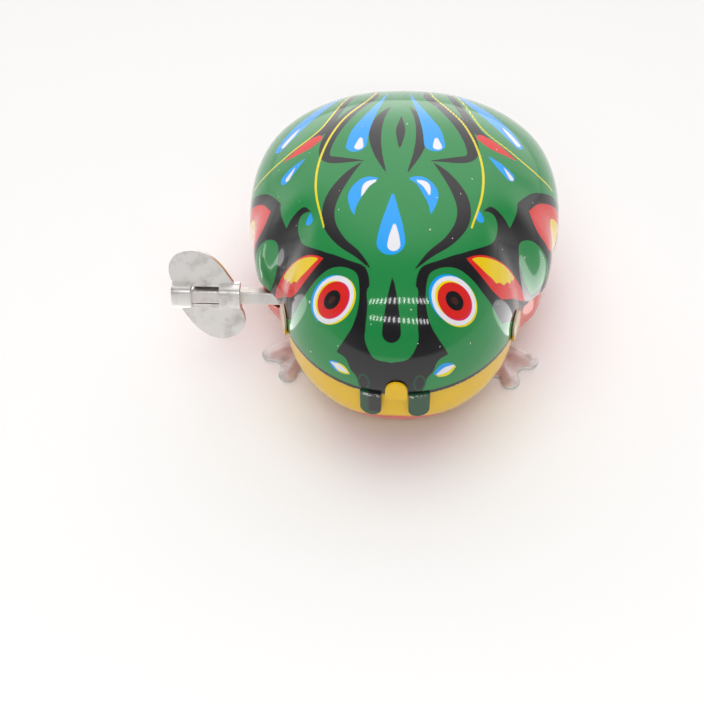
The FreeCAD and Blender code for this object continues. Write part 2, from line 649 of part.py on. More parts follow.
def hind_legs():
    """Stamped bracket on the leg pin: two ears, a cross web, two arms and two webbed feet."""
    web_y0, web_y1 = HIND_WEB_Y
    low = HIND_WEB_Z - LEG_T
    parts = [box(-ARM_X[1], ARM_X[1], web_y0, web_y1, low, HIND_WEB_Z)]
    ear = [(HIND_Y - 0.6, HIND_Z - HIND_EAR_R + 0.1), (HIND_Y + 0.9, HIND_Z + HIND_EAR_R - 0.25),
           (web_y1, HIND_WEB_Z), (web_y1, low), (web_y0 - 0.6, low)]
    for x0 in (-HIND_EAR_X, HIND_EAR_X - LEG_T):
        plate = slab(ear, x0, x0 + LEG_T).fuse(rod(HIND_EAR_R, x0, x0 + LEG_T, HIND_Y, HIND_Z))
        parts.append(plate.cut(rod(PIN_R + PLATE_CLEAR, x0 - 1, x0 + 2, HIND_Y, HIND_Z)))
    arm = [(web_y1 - 0.4, low), (web_y1 - 0.4, HIND_WEB_Z), (web_y1 + 0.3, HIND_WEB_Z),
           (ARM_FOOT_Y + 0.5, LEG_T), (ARM_FOOT_Y + 0.5, 0), (ARM_FOOT_Y - 0.6, 0)]
    right = [slab(arm, *ARM_X)]
    heel = [(ARM_X[0], ARM_FOOT_Y + 2.4), (ARM_X[0], ARM_FOOT_Y - 0.6), (ARM_X[1], ARM_FOOT_Y - 0.6)]
    toes = [(22.8, 24.6, 1.0), (22.6, 30.6, 1.0), (17.0, 34.0, 1.0)]
    right.append(foot(heel, toes, FOOT_WEB))
    parts += right + [mirrored(p) for p in right]
    return one(parts[0].fuse(parts[1:]))


def leaf_x():
    """Left side of the kick leaf, centred on the cam."""
    return CAM_X + CAM_T / 2 - LEAF_W / 2


def kick_leaf():
    """Spring leaf riveted to the leg web, standing up behind the cam between two lobes."""
    web_y0, _ = HIND_WEB_Y
    y = CAM_Y + CAM_ROOT_R + 0.5
    profile = [(web_y0 + 0.1, HIND_WEB_Z), (web_y0 + 2.6, HIND_WEB_Z), (web_y0 + 2.6, HIND_WEB_Z + LEAF_T),
               (web_y0 + 0.4, HIND_WEB_Z + LEAF_T), (HIND_Y + 2.0, HIND_Z + 2.6), (y + 1.6, HIND_Z + 4.2),
               (y + LEAF_T, CAM_Z - 1.0), (y + LEAF_T, CAM_Z + 1.6), (y, CAM_Z + 1.6), (y, CAM_Z - 1.1),
               (y + 1.35, HIND_Z + 4.0), (HIND_Y + 1.75, HIND_Z + 2.35)]
    x0 = leaf_x()
    leaf = slab(profile, x0, x0 + LEAF_W)
    hole = upright(LEAF_RIVET_R, x0 + LEAF_W / 2, web_y0 + LEAF_RIVET_Y, HIND_WEB_Z - 2, HIND_WEB_Z + 1)
    return one(leaf.cut(hole))


def leaf_rivet():
    """Rivet of the kick leaf, seated on top of the leg web."""
    web_y0, _ = HIND_WEB_Y
    x = leaf_x() + LEAF_W / 2
    top = HIND_WEB_Z + LEAF_T
    y = web_y0 + LEAF_RIVET_Y
    shank = upright(LEAF_RIVET_R, x, y, HIND_WEB_Z, top)
    return one(shank.fuse(upright(LEAF_RIVET_R * RIVET_HEAD, x, y, top, top + 0.4)))


def leg_pin():
    """Pin through both plates that the hind legs turn on."""
    end = PLATE_X + PLATE_T + 0.5
    return rod(PIN_R, -end, end, HIND_Y, HIND_Z)


def leg_return_spring():
    """Coil of wire round the leg pin that brings the legs back to rest."""
    turns, wire_r, coil_r, pitch, x0 = LEG_SPRING
    helix = Part.makeHelix(pitch, pitch * turns, coil_r)
    helix.rotate(V(0, 0, 0), V(0, 1, 0), 90)
    helix.translate(V(x0, HIND_Y, HIND_Z))
    start = helix.Edges[0].valueAt(helix.Edges[0].FirstParameter)
    along = helix.Edges[0].tangentAt(helix.Edges[0].FirstParameter)
    ring = Part.Wire(Part.makeCircle(wire_r, start, along))
    return Part.Wire(helix.Edges).makePipeShell([ring], True, True).Solids[0]


def build():
    """Every piece of the frog by name."""
    pieces = {
        "back_shell": back_shell(), "belly_shell": belly_shell(),
        "left_plate": side_plate(-1), "right_plate": side_plate(1),
        "great_wheel": great_wheel(), "ratchet_wheel": ratchet_wheel(), "click": click(),
        "click_rivet": click_rivet(), "click_spring": click_spring(), "mainspring": mainspring(),
        "winding_arbor": winding_arbor(), "wing_key": wing_key(),
        "second_arbor": arbor(SECOND_Y, SECOND_Z), "second_pinion": second_pinion(),
        "second_wheel": second_wheel(),
        "cam_arbor": arbor(CAM_Y, CAM_Z), "cam_pinion": cam_pinion(), "kick_cam": kick_cam(),
        "front_legs": front_legs(), "front_leg_rivets": front_leg_rivets(),
        "hind_legs": hind_legs(), "kick_leaf": kick_leaf(), "leaf_rivet": leaf_rivet(),
        "leg_pin": leg_pin(), "leg_return_spring": leg_return_spring(),
    }
    for name, y, z in pillar_places():
        pieces[name] = pillar(y, z)
    return pieces


def main():
    """Writes one STEP file per piece."""
    os.makedirs("parts", exist_ok=True)
    for name, shape in build().items():
        shape.exportStep(os.path.join("parts", name + ".step"))


main()
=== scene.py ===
"""Looks of a wind-up tin frog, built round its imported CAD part.

The frog stands on the plane z = 0 with its nose towards -Y and its key on the left (-X).
Sizes in the classes are in millimetres, and meshes are written in metres.
"""

import json
import logging
import math
from dataclasses import dataclass, field
from enum import Enum
from typing import Callable, Sequence

import bpy
import numpy as np
from mathutils import Matrix, Vector

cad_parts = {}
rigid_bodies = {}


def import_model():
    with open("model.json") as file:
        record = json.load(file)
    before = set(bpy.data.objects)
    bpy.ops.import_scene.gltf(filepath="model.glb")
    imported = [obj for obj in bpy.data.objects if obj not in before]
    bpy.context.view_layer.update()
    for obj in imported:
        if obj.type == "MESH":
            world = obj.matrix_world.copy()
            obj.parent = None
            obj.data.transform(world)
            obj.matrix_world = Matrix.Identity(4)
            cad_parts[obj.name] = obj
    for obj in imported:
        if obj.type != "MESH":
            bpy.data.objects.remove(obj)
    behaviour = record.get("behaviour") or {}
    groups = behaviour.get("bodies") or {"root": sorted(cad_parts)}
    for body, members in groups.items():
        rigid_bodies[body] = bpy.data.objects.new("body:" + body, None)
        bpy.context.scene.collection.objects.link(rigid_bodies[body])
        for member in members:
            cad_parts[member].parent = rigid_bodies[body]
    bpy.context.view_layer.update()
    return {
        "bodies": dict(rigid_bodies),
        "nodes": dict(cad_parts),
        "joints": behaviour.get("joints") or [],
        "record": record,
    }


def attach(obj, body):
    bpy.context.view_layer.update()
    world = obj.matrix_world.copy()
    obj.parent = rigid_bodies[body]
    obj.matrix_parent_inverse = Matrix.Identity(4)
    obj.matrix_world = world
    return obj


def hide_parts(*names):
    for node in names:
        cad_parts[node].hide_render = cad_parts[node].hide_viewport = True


MM = 0.001
OUTSIDE = -1.5  # depth of a spot that lies well outside every printed shape
FAR = 9.0  # longer than any distance that is compared
TINY = 1e-9
LOG = logging.getLogger("tin_frog")


class Ink(Enum):
    """Printing inks of the tin, as linear colours."""

    GREEN = (0.014, 0.262, 0.062)
    BLACK = (0.011, 0.011, 0.013)
    BLUE = (0.006, 0.366, 0.946)
    YELLOW = (0.88, 0.74, 0.006)
    AMBER = (0.88, 0.62, 0.004)
    WHITE = (0.86, 0.85, 0.90)
    RED = (0.76, 0.022, 0.018)
    CHIN_YELLOW = (0.90, 0.56, 0.012)
    CHIN_RED = (0.66, 0.10, 0.07)
    BROWN = (0.06, 0.02, 0.018)
    MAGENTA = (0.70, 0.02, 0.16)
    DEEP_GREEN = (0.010, 0.062, 0.024)
    TONGUE_GREEN = (0.008, 0.075, 0.028)


# ---- curves and printed shapes ---------------------------------------------
def flow(points: Sequence[Sequence[float]], closed: bool = False, steps: int = 8) -> np.ndarray:
    """Smooth run of points through the given ones.

    Args:
        points: Rows of coordinates, with any further values carried along.
        closed: Whether the run returns to its start.
        steps: Points laid on each span.

    Returns:
        The rows of the smooth run.
    """
    rows = np.asarray(points, float)
    if closed:
        rows = np.vstack([rows[-1:], rows, rows[:2]])
    else:
        rows = np.vstack([2 * rows[:1] - rows[1:2], rows, 2 * rows[-1:] - rows[-2:-1]])
    share = (np.arange(steps) / steps)[:, None]
    spans = []
    for a, b, c, d in zip(rows, rows[1:], rows[2:], rows[3:]):
        spans.append(0.5 * (2 * b + (c - a) * share + (2 * a - 5 * b + 4 * c - d) * share ** 2
                            + (3 * b - a - 3 * c + d) * share ** 3))
    if not closed:
        spans.append(rows[-2:-1])
    return np.vstack(spans)


def gap_to(spots: np.ndarray, start: np.ndarray, stop: np.ndarray) -> tuple[np.ndarray, np.ndarray]:
    """Measures how far spots lie from a straight run.

    Args:
        spots: Rows of places on the flat sheet.
        start: Where the run starts.
        stop: Where the run ends.

    Returns:
        The distances, and the share of the run at which the nearest point lies.
    """
    run = stop - start
    share = np.clip((spots - start) @ run / max(float(run @ run), TINY), 0, 1)
    return np.hypot(*(spots - start - share[:, None] * run).T), share


@dataclass(frozen=True)
class Stroke:
    """Brush stroke with a half width at each point of its spine."""

    spine: tuple[tuple[float, float, float], ...]
    twin: bool = True

    def outline(self) -> np.ndarray:
        """Rows that bound the stroke."""
        rows = np.asarray(self.spine, float)
        return np.vstack([rows[:, :2] - rows[:, 2].max(), rows[:, :2] + rows[:, 2].max()])

    def depth(self, spots: np.ndarray) -> np.ndarray:
        """Measures how deep spots lie inside the stroke.

        Args:
            spots: Rows of places on the flat sheet.

        Returns:
            The depths, negative outside.
        """
        rows = flow(self.spine)
        rows[:, 2] = np.maximum(rows[:, 2], 0)
        best = np.full(len(spots), -FAR)
        for a, b in zip(rows, rows[1:]):
            gap, share = gap_to(spots, a[:2], b[:2])
            best = np.maximum(best, a[2] + (b[2] - a[2]) * share - gap)
        return best


@dataclass(frozen=True)
class Oval:
    """Oval with two half widths and a tilt in degrees."""

    centre: tuple[float, float]
    semi: tuple[float, float]
    tilt: float = 0.0
    twin: bool = True

    def outline(self) -> np.ndarray:
        """Rows that bound the oval."""
        middle = np.asarray(self.centre)
        return np.vstack([middle - max(self.semi), middle + max(self.semi)])

    def depth(self, spots: np.ndarray) -> np.ndarray:
        """Measures how deep spots lie inside the oval.

        Args:
            spots: Rows of places on the flat sheet.

        Returns:
            The depths, negative outside.
        """
        c, s = math.cos(math.radians(self.tilt)), math.sin(math.radians(self.tilt))
        x, y = (spots - np.asarray(self.centre)).T
        u, v = (c * x + s * y) / self.semi[0], (c * y - s * x) / self.semi[1]
        size = np.hypot(u, v)
        return (1 - size) * size / np.maximum(np.hypot(u / self.semi[0], v / self.semi[1]), 1e-6)


@dataclass(frozen=True)
class Patch:
    """Flat area inside a closed outline; a point with a third value is a corner."""

    points: tuple[tuple[float, ...], ...]
    twin: bool = True

    def outline(self) -> np.ndarray:
        """Draws the outline, smooth between corners.

        Returns:
            Rows along the outline.
        """
        rows = [point[:2] for point in self.points]
        corners = [k for k, point in enumerate(self.points) if len(point) > 2]
        if not corners:
            return flow(rows, closed=True)
        runs = []
        for start, stop in zip(corners, corners[1:] + [corners[0] + len(rows)]):
            runs.append(flow([rows[k % len(rows)] for k in range(start, stop + 1)])[:-1])
        return np.vstack(runs)

    def depth(self, spots: np.ndarray) -> np.ndarray:
        """Measures how deep spots lie inside the area.

        Args:
            spots: Rows of places on the flat sheet.

        Returns:
            The depths, negative outside.
        """
        rows = self.outline()
        gap = np.full(len(spots), FAR)
        inside = np.zeros(len(spots), bool)
        for a, b in zip(rows, np.roll(rows, -1, axis=0)):
            run = b - a
            gap = np.minimum(gap, gap_to(spots, a, b)[0])
            if run[1]:
                crossed = (a[1] > spots[:, 1]) != (b[1] > spots[:, 1])
                inside ^= crossed & (spots[:, 0] < a[0] + (spots[:, 1] - a[1]) * run[0] / run[1])
        return np.where(inside, gap, -gap)


@dataclass(frozen=True)
class Layer:
    """One pass of the press: an ink, its shapes and how far it is out of register."""

    name: str
    ink: Ink
    shapes: tuple
    drift: tuple[float, float] = (-1.0, 0.0)

    def depth(self, spots: np.ndarray) -> np.ndarray:
        """Measures how deep spots lie inside the layer's shapes.

        Args:
            spots: Rows of places on the flat sheet.

        Returns:
            The depths, OUTSIDE where no shape is near.
        """
        moved = spots - np.asarray(self.drift)
        folded = np.stack([np.abs(moved[:, 0]), moved[:, 1]], -1)
        best = np.full(len(spots), OUTSIDE)
        for shape in self.shapes:
            places = folded if shape.twin else moved
            rows = shape.outline()
            near = np.all((places > rows.min(0) + OUTSIDE) & (places < rows.max(0) - OUTSIDE), axis=1)
            best[near] = np.maximum(best[near], shape.depth(places[near]))
        return best


EYE = (9.95, -26.5)
EYE_TILT = -33
EYE_RIM = Oval(EYE, (4.0, 3.5), EYE_TILT)
IRIS = Oval(EYE, (3.15, 2.7), EYE_TILT)
NOSTRIL = (5.4, -40.7)


def drop_of(wide: float) -> Stroke:
    """The small drop beside the mouth, with its half width."""
    return Stroke(((8.3, -38.9, 0.05), (9.3, -38.2, 0.8 * wide), (10.2, -37.6, wide),
                   (11.5, -36.7, 0.15)))


def back_layers() -> tuple[Layer, ...]:
    """Draws the back's print on the flat sheet, with its nose towards -Y.

    Returns:
        The passes of the press, first to last.
    """
    black = (
        Stroke(((4.6, 24.0, 0.5), (4.9, 18.5, 0.75), (8.0, 12.6, 1.05), (10.8, 7.0, 1.3),
                (12.0, 3.0, 1.15), (11.7, 0.4, 0.75), (9.5, -0.9, 0.7), (5.2, -1.9, 0.05))),
        Stroke(((5.6, -2.1, 0.05), (7.7, -4.6, 0.7), (9.9, -8.2, 1.15), (10.7, -11.3, 1.15),
                (10.2, -14.3, 1.0), (8.3, -17.4, 0.75), (5.6, -20.0, 0.5), (3.3, -22.7, 0.05))),
        Stroke(((1.6, 13.9, 0.1), (3.2, 9.6, 0.75), (3.8, 4.8, 1.0), (3.2, 0.0, 0.7),
                (1.6, -5.2, 0.05))),
        Stroke(((0.3, 10.3, 0.05), (0.3, 5.6, 0.75), (0.3, 0.3, 0.05)), False),
        Stroke(((8.6, 22.0, 0.6), (10.4, 14.0, 0.7), (12.2, 9.0, 0.85), (14.5, 6.2, 0.8),
                (20.0, 4.2, 0.05))),
        Patch(((13.8, -10.4, 1), (15.4, -8.7), (17.7, -9.4), (19.6, -10.8, 1), (20.4, -7.5),
               (20.5, -5.4, 1), (23.4, -1.4), (26.0, 0.8), (32.0, 4.5), (42.0, 8.0, 1),
               (42.0, -10.0, 1), (38.0, -20.0), (30.0, -25.6, 1), (27.0, -25.6), (23.6, -26.4),
               (20.6, -27.7, 1), (18.5, -26.5), (16.8, -25.3), (14.7, -24.0), (13.0, -22.8),
               (10.8, -21.7), (8.9, -21.5), (6.9, -22.1), (5.5, -23.4), (5.2, -26.4), (5.7, -29.3),
               (6.9, -31.9, 1), (4.2, -31.9, 1), (3.9, -28.0), (3.6, -25.2), (3.8, -23.4), (4.6, -22.0),
               (6.9, -20.8), (9.4, -19.4), (11.3, -18.4), (15.8, -15.4), (17.0, -12.4), (16.3, -10.3),
               (14.9, -9.9))),
        Patch(((-1.0, -30.0, 1), (4.2, -30.0, 1), (5.8, -29.6, 1), (6.9, -31.6), (10.0, -34.9, 1),
               (8.3, -36.2), (7.6, -38.3), (6.6, -40.0), (5.6, -46.0, 1), (-1.0, -46.0, 1))),
    )
    blue = (
        Stroke(((0.0, -9.2, 0.05), (0.0, -12.5, 0.85), (0.0, -16.0, 1.75), (0.0, -18.5, 2.2)), False),
        Stroke(((2.7, -6.4, 0.3), (4.4, -6.9, 1.0), (5.7, -8.9, 1.25), (6.1, -11.2, 0.65),
                (5.9, -13.3, 0.05))),
        Stroke(((6.3, 2.0, 1.7), (5.8, 5.6, 1.5), (4.4, 10.5, 0.85), (2.9, 16.0, 0.35),
                (1.8, 22.0, 0.1))),
        Stroke(((20.9, 8.4, 1.1), (18.6, 10.9, 1.55), (14.6, 15.6, 1.35), (11.5, 21.5, 0.6),
                (11.0, 26.0, 0.1))),
        Stroke(((19.2, -0.7, 1.05), (17.4, 0.4, 0.8), (15.1, 1.8, 0.05))),
        Stroke(((13.7, -10.6, 0.1), (13.9, -12.0, 0.75))),
        EYE_RIM, drop_of(0.85),
    )
    yellow = (
        Stroke(((4.6, 26.0, 0.15), (5.9, 18.0, 0.2), (10.5, 8.6, 0.2), (13.2, 0.4, 0.22),
                (13.4, -6.7, 0.2), (11.7, -13.9, 0.15))),
        Stroke(((9.6, 27.0, 0.15), (10.0, 21.0, 0.18), (13.2, 9.5, 0.18), (18.7, 5.6, 0.18),
                (24.1, 4.2, 0.18), (29.0, 4.6, 0.15))),
        EYE_RIM, drop_of(0.8),
    )
    white = (
        EYE_RIM, drop_of(0.5),
        Stroke(((0.0, -15.0, 0.1), (0.0, -17.4, 0.75), (0.0, -18.9, 1.0)), False),
        Stroke(((3.3, -6.6, 0.25), (4.6, -7.4, 0.55), (5.3, -9.6, 0.1))),
        Stroke(((6.3, 1.7, 0.75), (6.1, 3.6, 0.3))),
        Stroke(((20.5, 8.7, 0.6), (18.9, 10.4, 0.5), (17.7, 11.9, 0.1))),
        Stroke(((19.1, -0.8, 0.5), (17.6, 0.8, 0.1))),
    )
    red = (
        Oval(EYE, (3.0, 2.6), EYE_TILT),
        Stroke(((13.7, 5.9, 0.95), (15.8, 5.0, 1.15), (20.0, 3.9, 0.1))),
        Patch(((11.3, -19.5, 1), (13.0, -18.5), (15.6, -17.8), (21.0, -17.7), (24.5, -18.3),
               (30.5, -19.5, 1), (27.0, -20.9), (24.0, -21.9), (19.4, -23.8, 1), (17.0, -23.2),
               (14.3, -21.6))),
        Patch(((23.2, -5.3, 1), (26.8, -0.8), (35.0, 4.5, 1), (38.0, -2.0), (34.0, -7.0),
               (29.8, -8.9, 1), (25.6, -7.9))),
    )
    flash = (
        Patch(((12.2, -19.3, 1), (13.6, -18.6), (15.8, -18.1), (19.0, -17.9), (22.9, -18.3, 1),
               (22.7, -19.1, 1), (21.9, -19.2, 1), (21.3, -20.3, 1), (20.3, -20.3, 1), (19.4, -21.3, 1),
               (18.3, -21.2, 1), (17.5, -21.7, 1), (16.4, -21.2), (15.0, -20.7))),
        Patch(((30.5, -1.0), (36.0, 2.5, 1), (39.0, -4.0, 1), (33.0, -7.4, 1), (31.5, -4.5))),
    )
    green = (
        Patch(((-1.0, -24.0, 1), (3.6, -25.2), (3.9, -28.5), (4.3, -31.5), (4.4, -33.6), (3.0, -36.3),
               (0.0, -37.1, 1), (-1.0, -37.1, 1))),
        Patch(((22.5, -12.0), (25.0, -10.4), (29.0, -10.6), (33.0, -12.5), (32.0, -17.0), (27.5, -17.3),
               (25.2, -16.3), (23.4, -14.6))),
    )
    nostril = (Oval(NOSTRIL, (1.2, 1.7)),)
    dark = (
        Stroke(((0.0, -23.8, 0.05), (0.0, -27.5, 0.85), (0.0, -30.6, 1.35), (0.0, -32.3, 1.55)), False),
        Oval(EYE, (1.65, 1.35), EYE_TILT),
        Oval(NOSTRIL, (0.85, 1.3)),
    )
    pupil = (Oval(EYE, (0.75, 0.5), EYE_TILT),)
    iris = (IRIS,)
    return (Layer("ink_black", Ink.BLACK, black),
            Layer("ink_blue", Ink.BLUE, blue, (-1.45, 0.2)),
            Layer("ink_yellow", Ink.YELLOW, yellow, (-0.68, -0.2)),
            Layer("ink_white", Ink.WHITE, white),
            Layer("ink_iris", Ink.YELLOW, iris, (-1.25, 0.1)),
            Layer("ink_magenta", Ink.MAGENTA, iris, (-0.85, -0.1)),
            Layer("ink_red", Ink.RED, red),
            Layer("ink_flash", Ink.AMBER, flash),
            Layer("ink_green", Ink.GREEN, green),
            Layer("ink_nostril", Ink.DEEP_GREEN, nostril),
            Layer("ink_dark", Ink.BLACK, dark),
            Layer("ink_pupil", Ink.BROWN, pupil))


# ---- the dome ----------------------------------------------------------------
def along(table: Sequence[tuple[float, float]], angle: np.ndarray) -> np.ndarray:
    """Reads a table at any direction, smoothly and alike on both sides.

    Args:
        table: Rows of (degrees from the nose, value).
        angle: Directions in degrees.

    Returns:
        The value at each direction.
    """
    turn = np.abs((np.asarray(angle, float) + 180) % 360 - 180)
    at = np.array([-table[1][0]] + [row[0] for row in table] + [360 - table[-2][0]], float)
    value = np.array([table[1][1]] + [row[1] for row in table] + [table[-2][1]], float)
    k = np.clip(np.searchsorted(at, turn, side="right") - 1, 1, len(table) - 1)
    span = at[k + 1] - at[k]
    s = (turn - at[k]) / span
    low = (value[k + 1] - value[k - 1]) / (at[k + 1] - at[k - 1]) * span
    high = (value[k + 2] - value[k]) / (at[k + 2] - at[k]) * span
    return ((2 * s ** 3 - 3 * s * s + 1) * value[k] + (s ** 3 - 2 * s * s + s) * low
            + (3 * s * s - 2 * s ** 3) * value[k + 1] + (s ** 3 - s * s) * high)


@dataclass(frozen=True)
class Dome:
    """Pressed shape of the back: directions run from the nose (0) round to the tail (180)."""

    seam_z: float = 16.0
    rise: float = 20.6
    tin: float = 0.4
    fade: tuple[float, float] = (0.45, 0.5)
    turn_step: float = 1.5
    level_step: float = 0.75
    seam: tuple = ((0, 32.9), (10, 32.6), (21, 31.3), (32, 29.3), (43, 26.9), (51, 24.9), (59, 24.6),
                   (69, 25.6), (80, 25.4), (87, 25.7), (94, 26.7), (103, 27.6), (115, 28.9), (128, 30.7),
                   (143, 32.3), (160, 33.3), (180, 33.6))
    egg: tuple = ((0, 32.9), (30, 29.8), (60, 26.2), (90, 25.6), (120, 28.6), (150, 32.0), (180, 33.6))
    fullness: tuple = ((0, 2.6), (45, 2.4), (90, 2.45), (130, 2.65), (155, 2.4), (180, 2.15))
    bulges: tuple = ((116.0, 24.0, 30.0, 20.0, 1.0), (75.0, 11.0, 18.0, 14.0, 0.7))

    def radius(self, angle: np.ndarray, level: np.ndarray, out: float = 0.0) -> np.ndarray:
        """Measures how far the surface lies from the centre line.

        Args:
            angle: Directions in degrees from the nose.
            level: Heights on the dome, from 0 at the seam to 90 at the crown.
            out: How far the surface is set outwards.

        Returns:
            The distances.
        """
        share = np.cos(np.radians(level)) ** (2 / along(self.fullness, angle))
        fade = np.clip((share - self.fade[0]) / self.fade[1], 0, 1)
        fade = fade * fade * (3 - 2 * fade)
        egg = along(self.egg, angle)
        found = (egg + (along(self.seam, angle) - egg) * fade + out) * share
        turn = np.abs((np.asarray(angle, float) + 180) % 360 - 180)
        for centre, spread, at_level, level_spread, height in self.bulges:
            found = found + height * np.exp(-((turn - centre) / spread) ** 2
                                            - ((level - at_level) / level_spread) ** 2)
        return found

    def place(self, angle: np.ndarray, level: np.ndarray, out: float = 0.0) -> np.ndarray:
        """Finds points of the surface.

        Args:
            angle: Directions in degrees from the nose.
            level: Heights on the dome, from 0 at the seam to 90 at the crown.
            out: How far the surface is set outwards.

        Returns:
            Rows of x, y and z.
        """
        r = self.radius(angle, level, out)
        turn = np.radians(angle)
        z = self.seam_z + (self.rise + out) * np.sin(np.radians(level))
        return np.stack([r * np.sin(turn), -r * np.cos(turn), z], -1)

    def flat(self, angle: np.ndarray, level: np.ndarray) -> np.ndarray:
        """Unrolls the dome: each point goes to its length of metal from the crown, in its direction.

        Args:
            angle: Directions in degrees from the nose.
            level: Heights on the dome, from 0 at the seam to 90 at the crown.

        Returns:
            Rows of places on the flat sheet.
        """
        turns = np.arange(-180, 181, self.turn_step)
        levels = np.linspace(0, 90, round(90 / self.level_step) + 1)
        grid = self.place(*np.meshgrid(turns, levels, indexing="ij"))
        step = np.linalg.norm(np.diff(grid, axis=1), axis=2)
        run = np.concatenate([np.zeros((len(turns), 1)), np.cumsum(step, axis=1)], axis=1)
        run = run[:, -1:] - run
        i = np.clip((np.asarray(angle) + 180) / self.turn_step, 0, len(turns) - 1.001)
        j = np.clip(np.asarray(level) / self.level_step, 0, len(levels) - 1.001)
        a, b = i.astype(int), j.astype(int)
        u, v = i - a, j - b
        length = ((run[a, b] * (1 - u) + run[a + 1, b] * u) * (1 - v)
                  + (run[a, b + 1] * (1 - u) + run[a + 1, b + 1] * u) * v)
        turn = np.radians(angle)
        return np.stack([length * np.sin(turn), -length * np.cos(turn)], -1)


# ---- mesh helpers ------------------------------------------------------------
def clear_selection() -> None:
    """Leaves object mode with nothing selected."""
    if bpy.context.object and bpy.context.object.mode != "OBJECT":
        bpy.ops.object.mode_set(mode="OBJECT")
    bpy.ops.object.select_all(action="DESELECT")


def pick(*pieces: bpy.types.Object) -> None:
    """Selects only the given pieces and makes the first one active.

    Args:
        *pieces: The pieces to select.
    """
    clear_selection()
    for piece in pieces:
        piece.select_set(True)
    bpy.context.view_layer.objects.active = pieces[0]


def edit_all(piece: bpy.types.Object, operator: Callable, **values: object) -> None:
    """Runs a mesh operator on the whole of a piece.

    Args:
        piece: The piece.
        operator: One of the edit-mode operators.
        **values: The operator's settings.
    """
    pick(piece)
    bpy.ops.object.mode_set(mode="EDIT")
    bpy.ops.mesh.select_all(action="SELECT")
    operator(**values)
    bpy.ops.object.mode_set(mode="OBJECT")


def named(name: str) -> bpy.types.Object:
    """Names the object just added, and its mesh.

    Args:
        name: The new name.

    Returns:
        The object.
    """
    piece = bpy.context.object
    piece.name = piece.data.name = name
    return piece


def points_of(piece: bpy.types.Object) -> np.ndarray:
    """Reads the mesh's points.

    Args:
        piece: The piece.

    Returns:
        Rows of x, y and z in millimetres.
    """
    rows = np.zeros(len(piece.data.vertices) * 3)
    piece.data.vertices.foreach_get("co", rows)
    return rows.reshape(-1, 3) / MM


def set_points(piece: bpy.types.Object, rows: np.ndarray) -> None:
    """Moves the mesh's points to rows given in millimetres."""
    piece.data.vertices.foreach_set("co", (rows * MM).ravel())
    piece.data.update()


def picked(piece: bpy.types.Object) -> np.ndarray:
    """Tells which of the mesh's points are selected.

    Args:
        piece: The piece.

    Returns:
        True or False for each point.
    """
    rows = np.zeros(len(piece.data.vertices), bool)
    piece.data.vertices.foreach_get("select", rows)
    return rows


def smooth(piece: bpy.types.Object, angle: float) -> None:
    """Shades the piece smooth up to an angle in degrees."""
    pick(piece)
    bpy.ops.object.shade_smooth_by_angle(angle=math.radians(angle))


def merged_copy(node: bpy.types.Object, name: str) -> bpy.types.Object:
    """Copies a CAD node's mesh and joins its loose triangles.

    Args:
        node: The CAD node.
        name: Name of the copy.

    Returns:
        The copy.
    """
    piece = bpy.data.objects.new(name, node.data.copy())
    piece.data.name = name
    bpy.context.scene.collection.objects.link(piece)
    edit_all(piece, bpy.ops.mesh.remove_doubles, threshold=1e-6)
    return piece


def store(piece: bpy.types.Object, name: str, values: np.ndarray) -> None:
    """Keeps a depth per point as an attribute; points past the given ones count as outside.

    Args:
        piece: The piece.
        name: Name of the attribute.
        values: Depths of the mesh's first points.
    """
    full = np.full(len(piece.data.vertices), OUTSIDE, np.float32)
    full[:len(values)] = values
    piece.data.attributes.new(name, "FLOAT", "POINT").data.foreach_set("value", full)


def finish_with(piece: bpy.types.Object, kind: str, **values: object) -> None:
    """Adds a modifier and applies it.

    Args:
        piece: The piece.
        kind: Blender's name for the modifier.
        **values: The modifier's settings.
    """
    pick(piece)
    modifier = piece.modifiers.new(kind.lower(), kind)
    for key, value in values.items():
        setattr(modifier, key, value)
    bpy.ops.object.modifier_apply(modifier=modifier.name)


def round_edges(piece: bpy.types.Object, width: float, segments: int) -> None:
    """Takes the sharpness off a sheet's cut edges."""
    finish_with(piece, "BEVEL", width=width * MM, segments=segments, limit_method="ANGLE",
                angle_limit=math.radians(50))


def joined(pieces: Sequence[bpy.types.Object], name: str) -> bpy.types.Object:
    """Joins pieces into the first one.

    Args:
        pieces: The pieces.
        name: Name of the whole.

    Returns:
        The joined object.
    """
    pick(*pieces)
    bpy.ops.object.join()
    return named(name)


def grid(name: str, across: int, down: int) -> tuple[bpy.types.Object, np.ndarray, np.ndarray]:
    """Adds a grid of cells to be shaped.

    Args:
        name: Name of the mesh.
        across: Cells across.
        down: Cells along the other way.

    Returns:
        The object, and each point's place across (-1 to 1) and down (0 to 1).
    """
    clear_selection()
    bpy.ops.mesh.primitive_grid_add(x_subdivisions=across, y_subdivisions=down, size=2 * MM)
    piece = named(name)
    rows = points_of(piece)
    return piece, rows[:, 0], (1 - rows[:, 1]) / 2


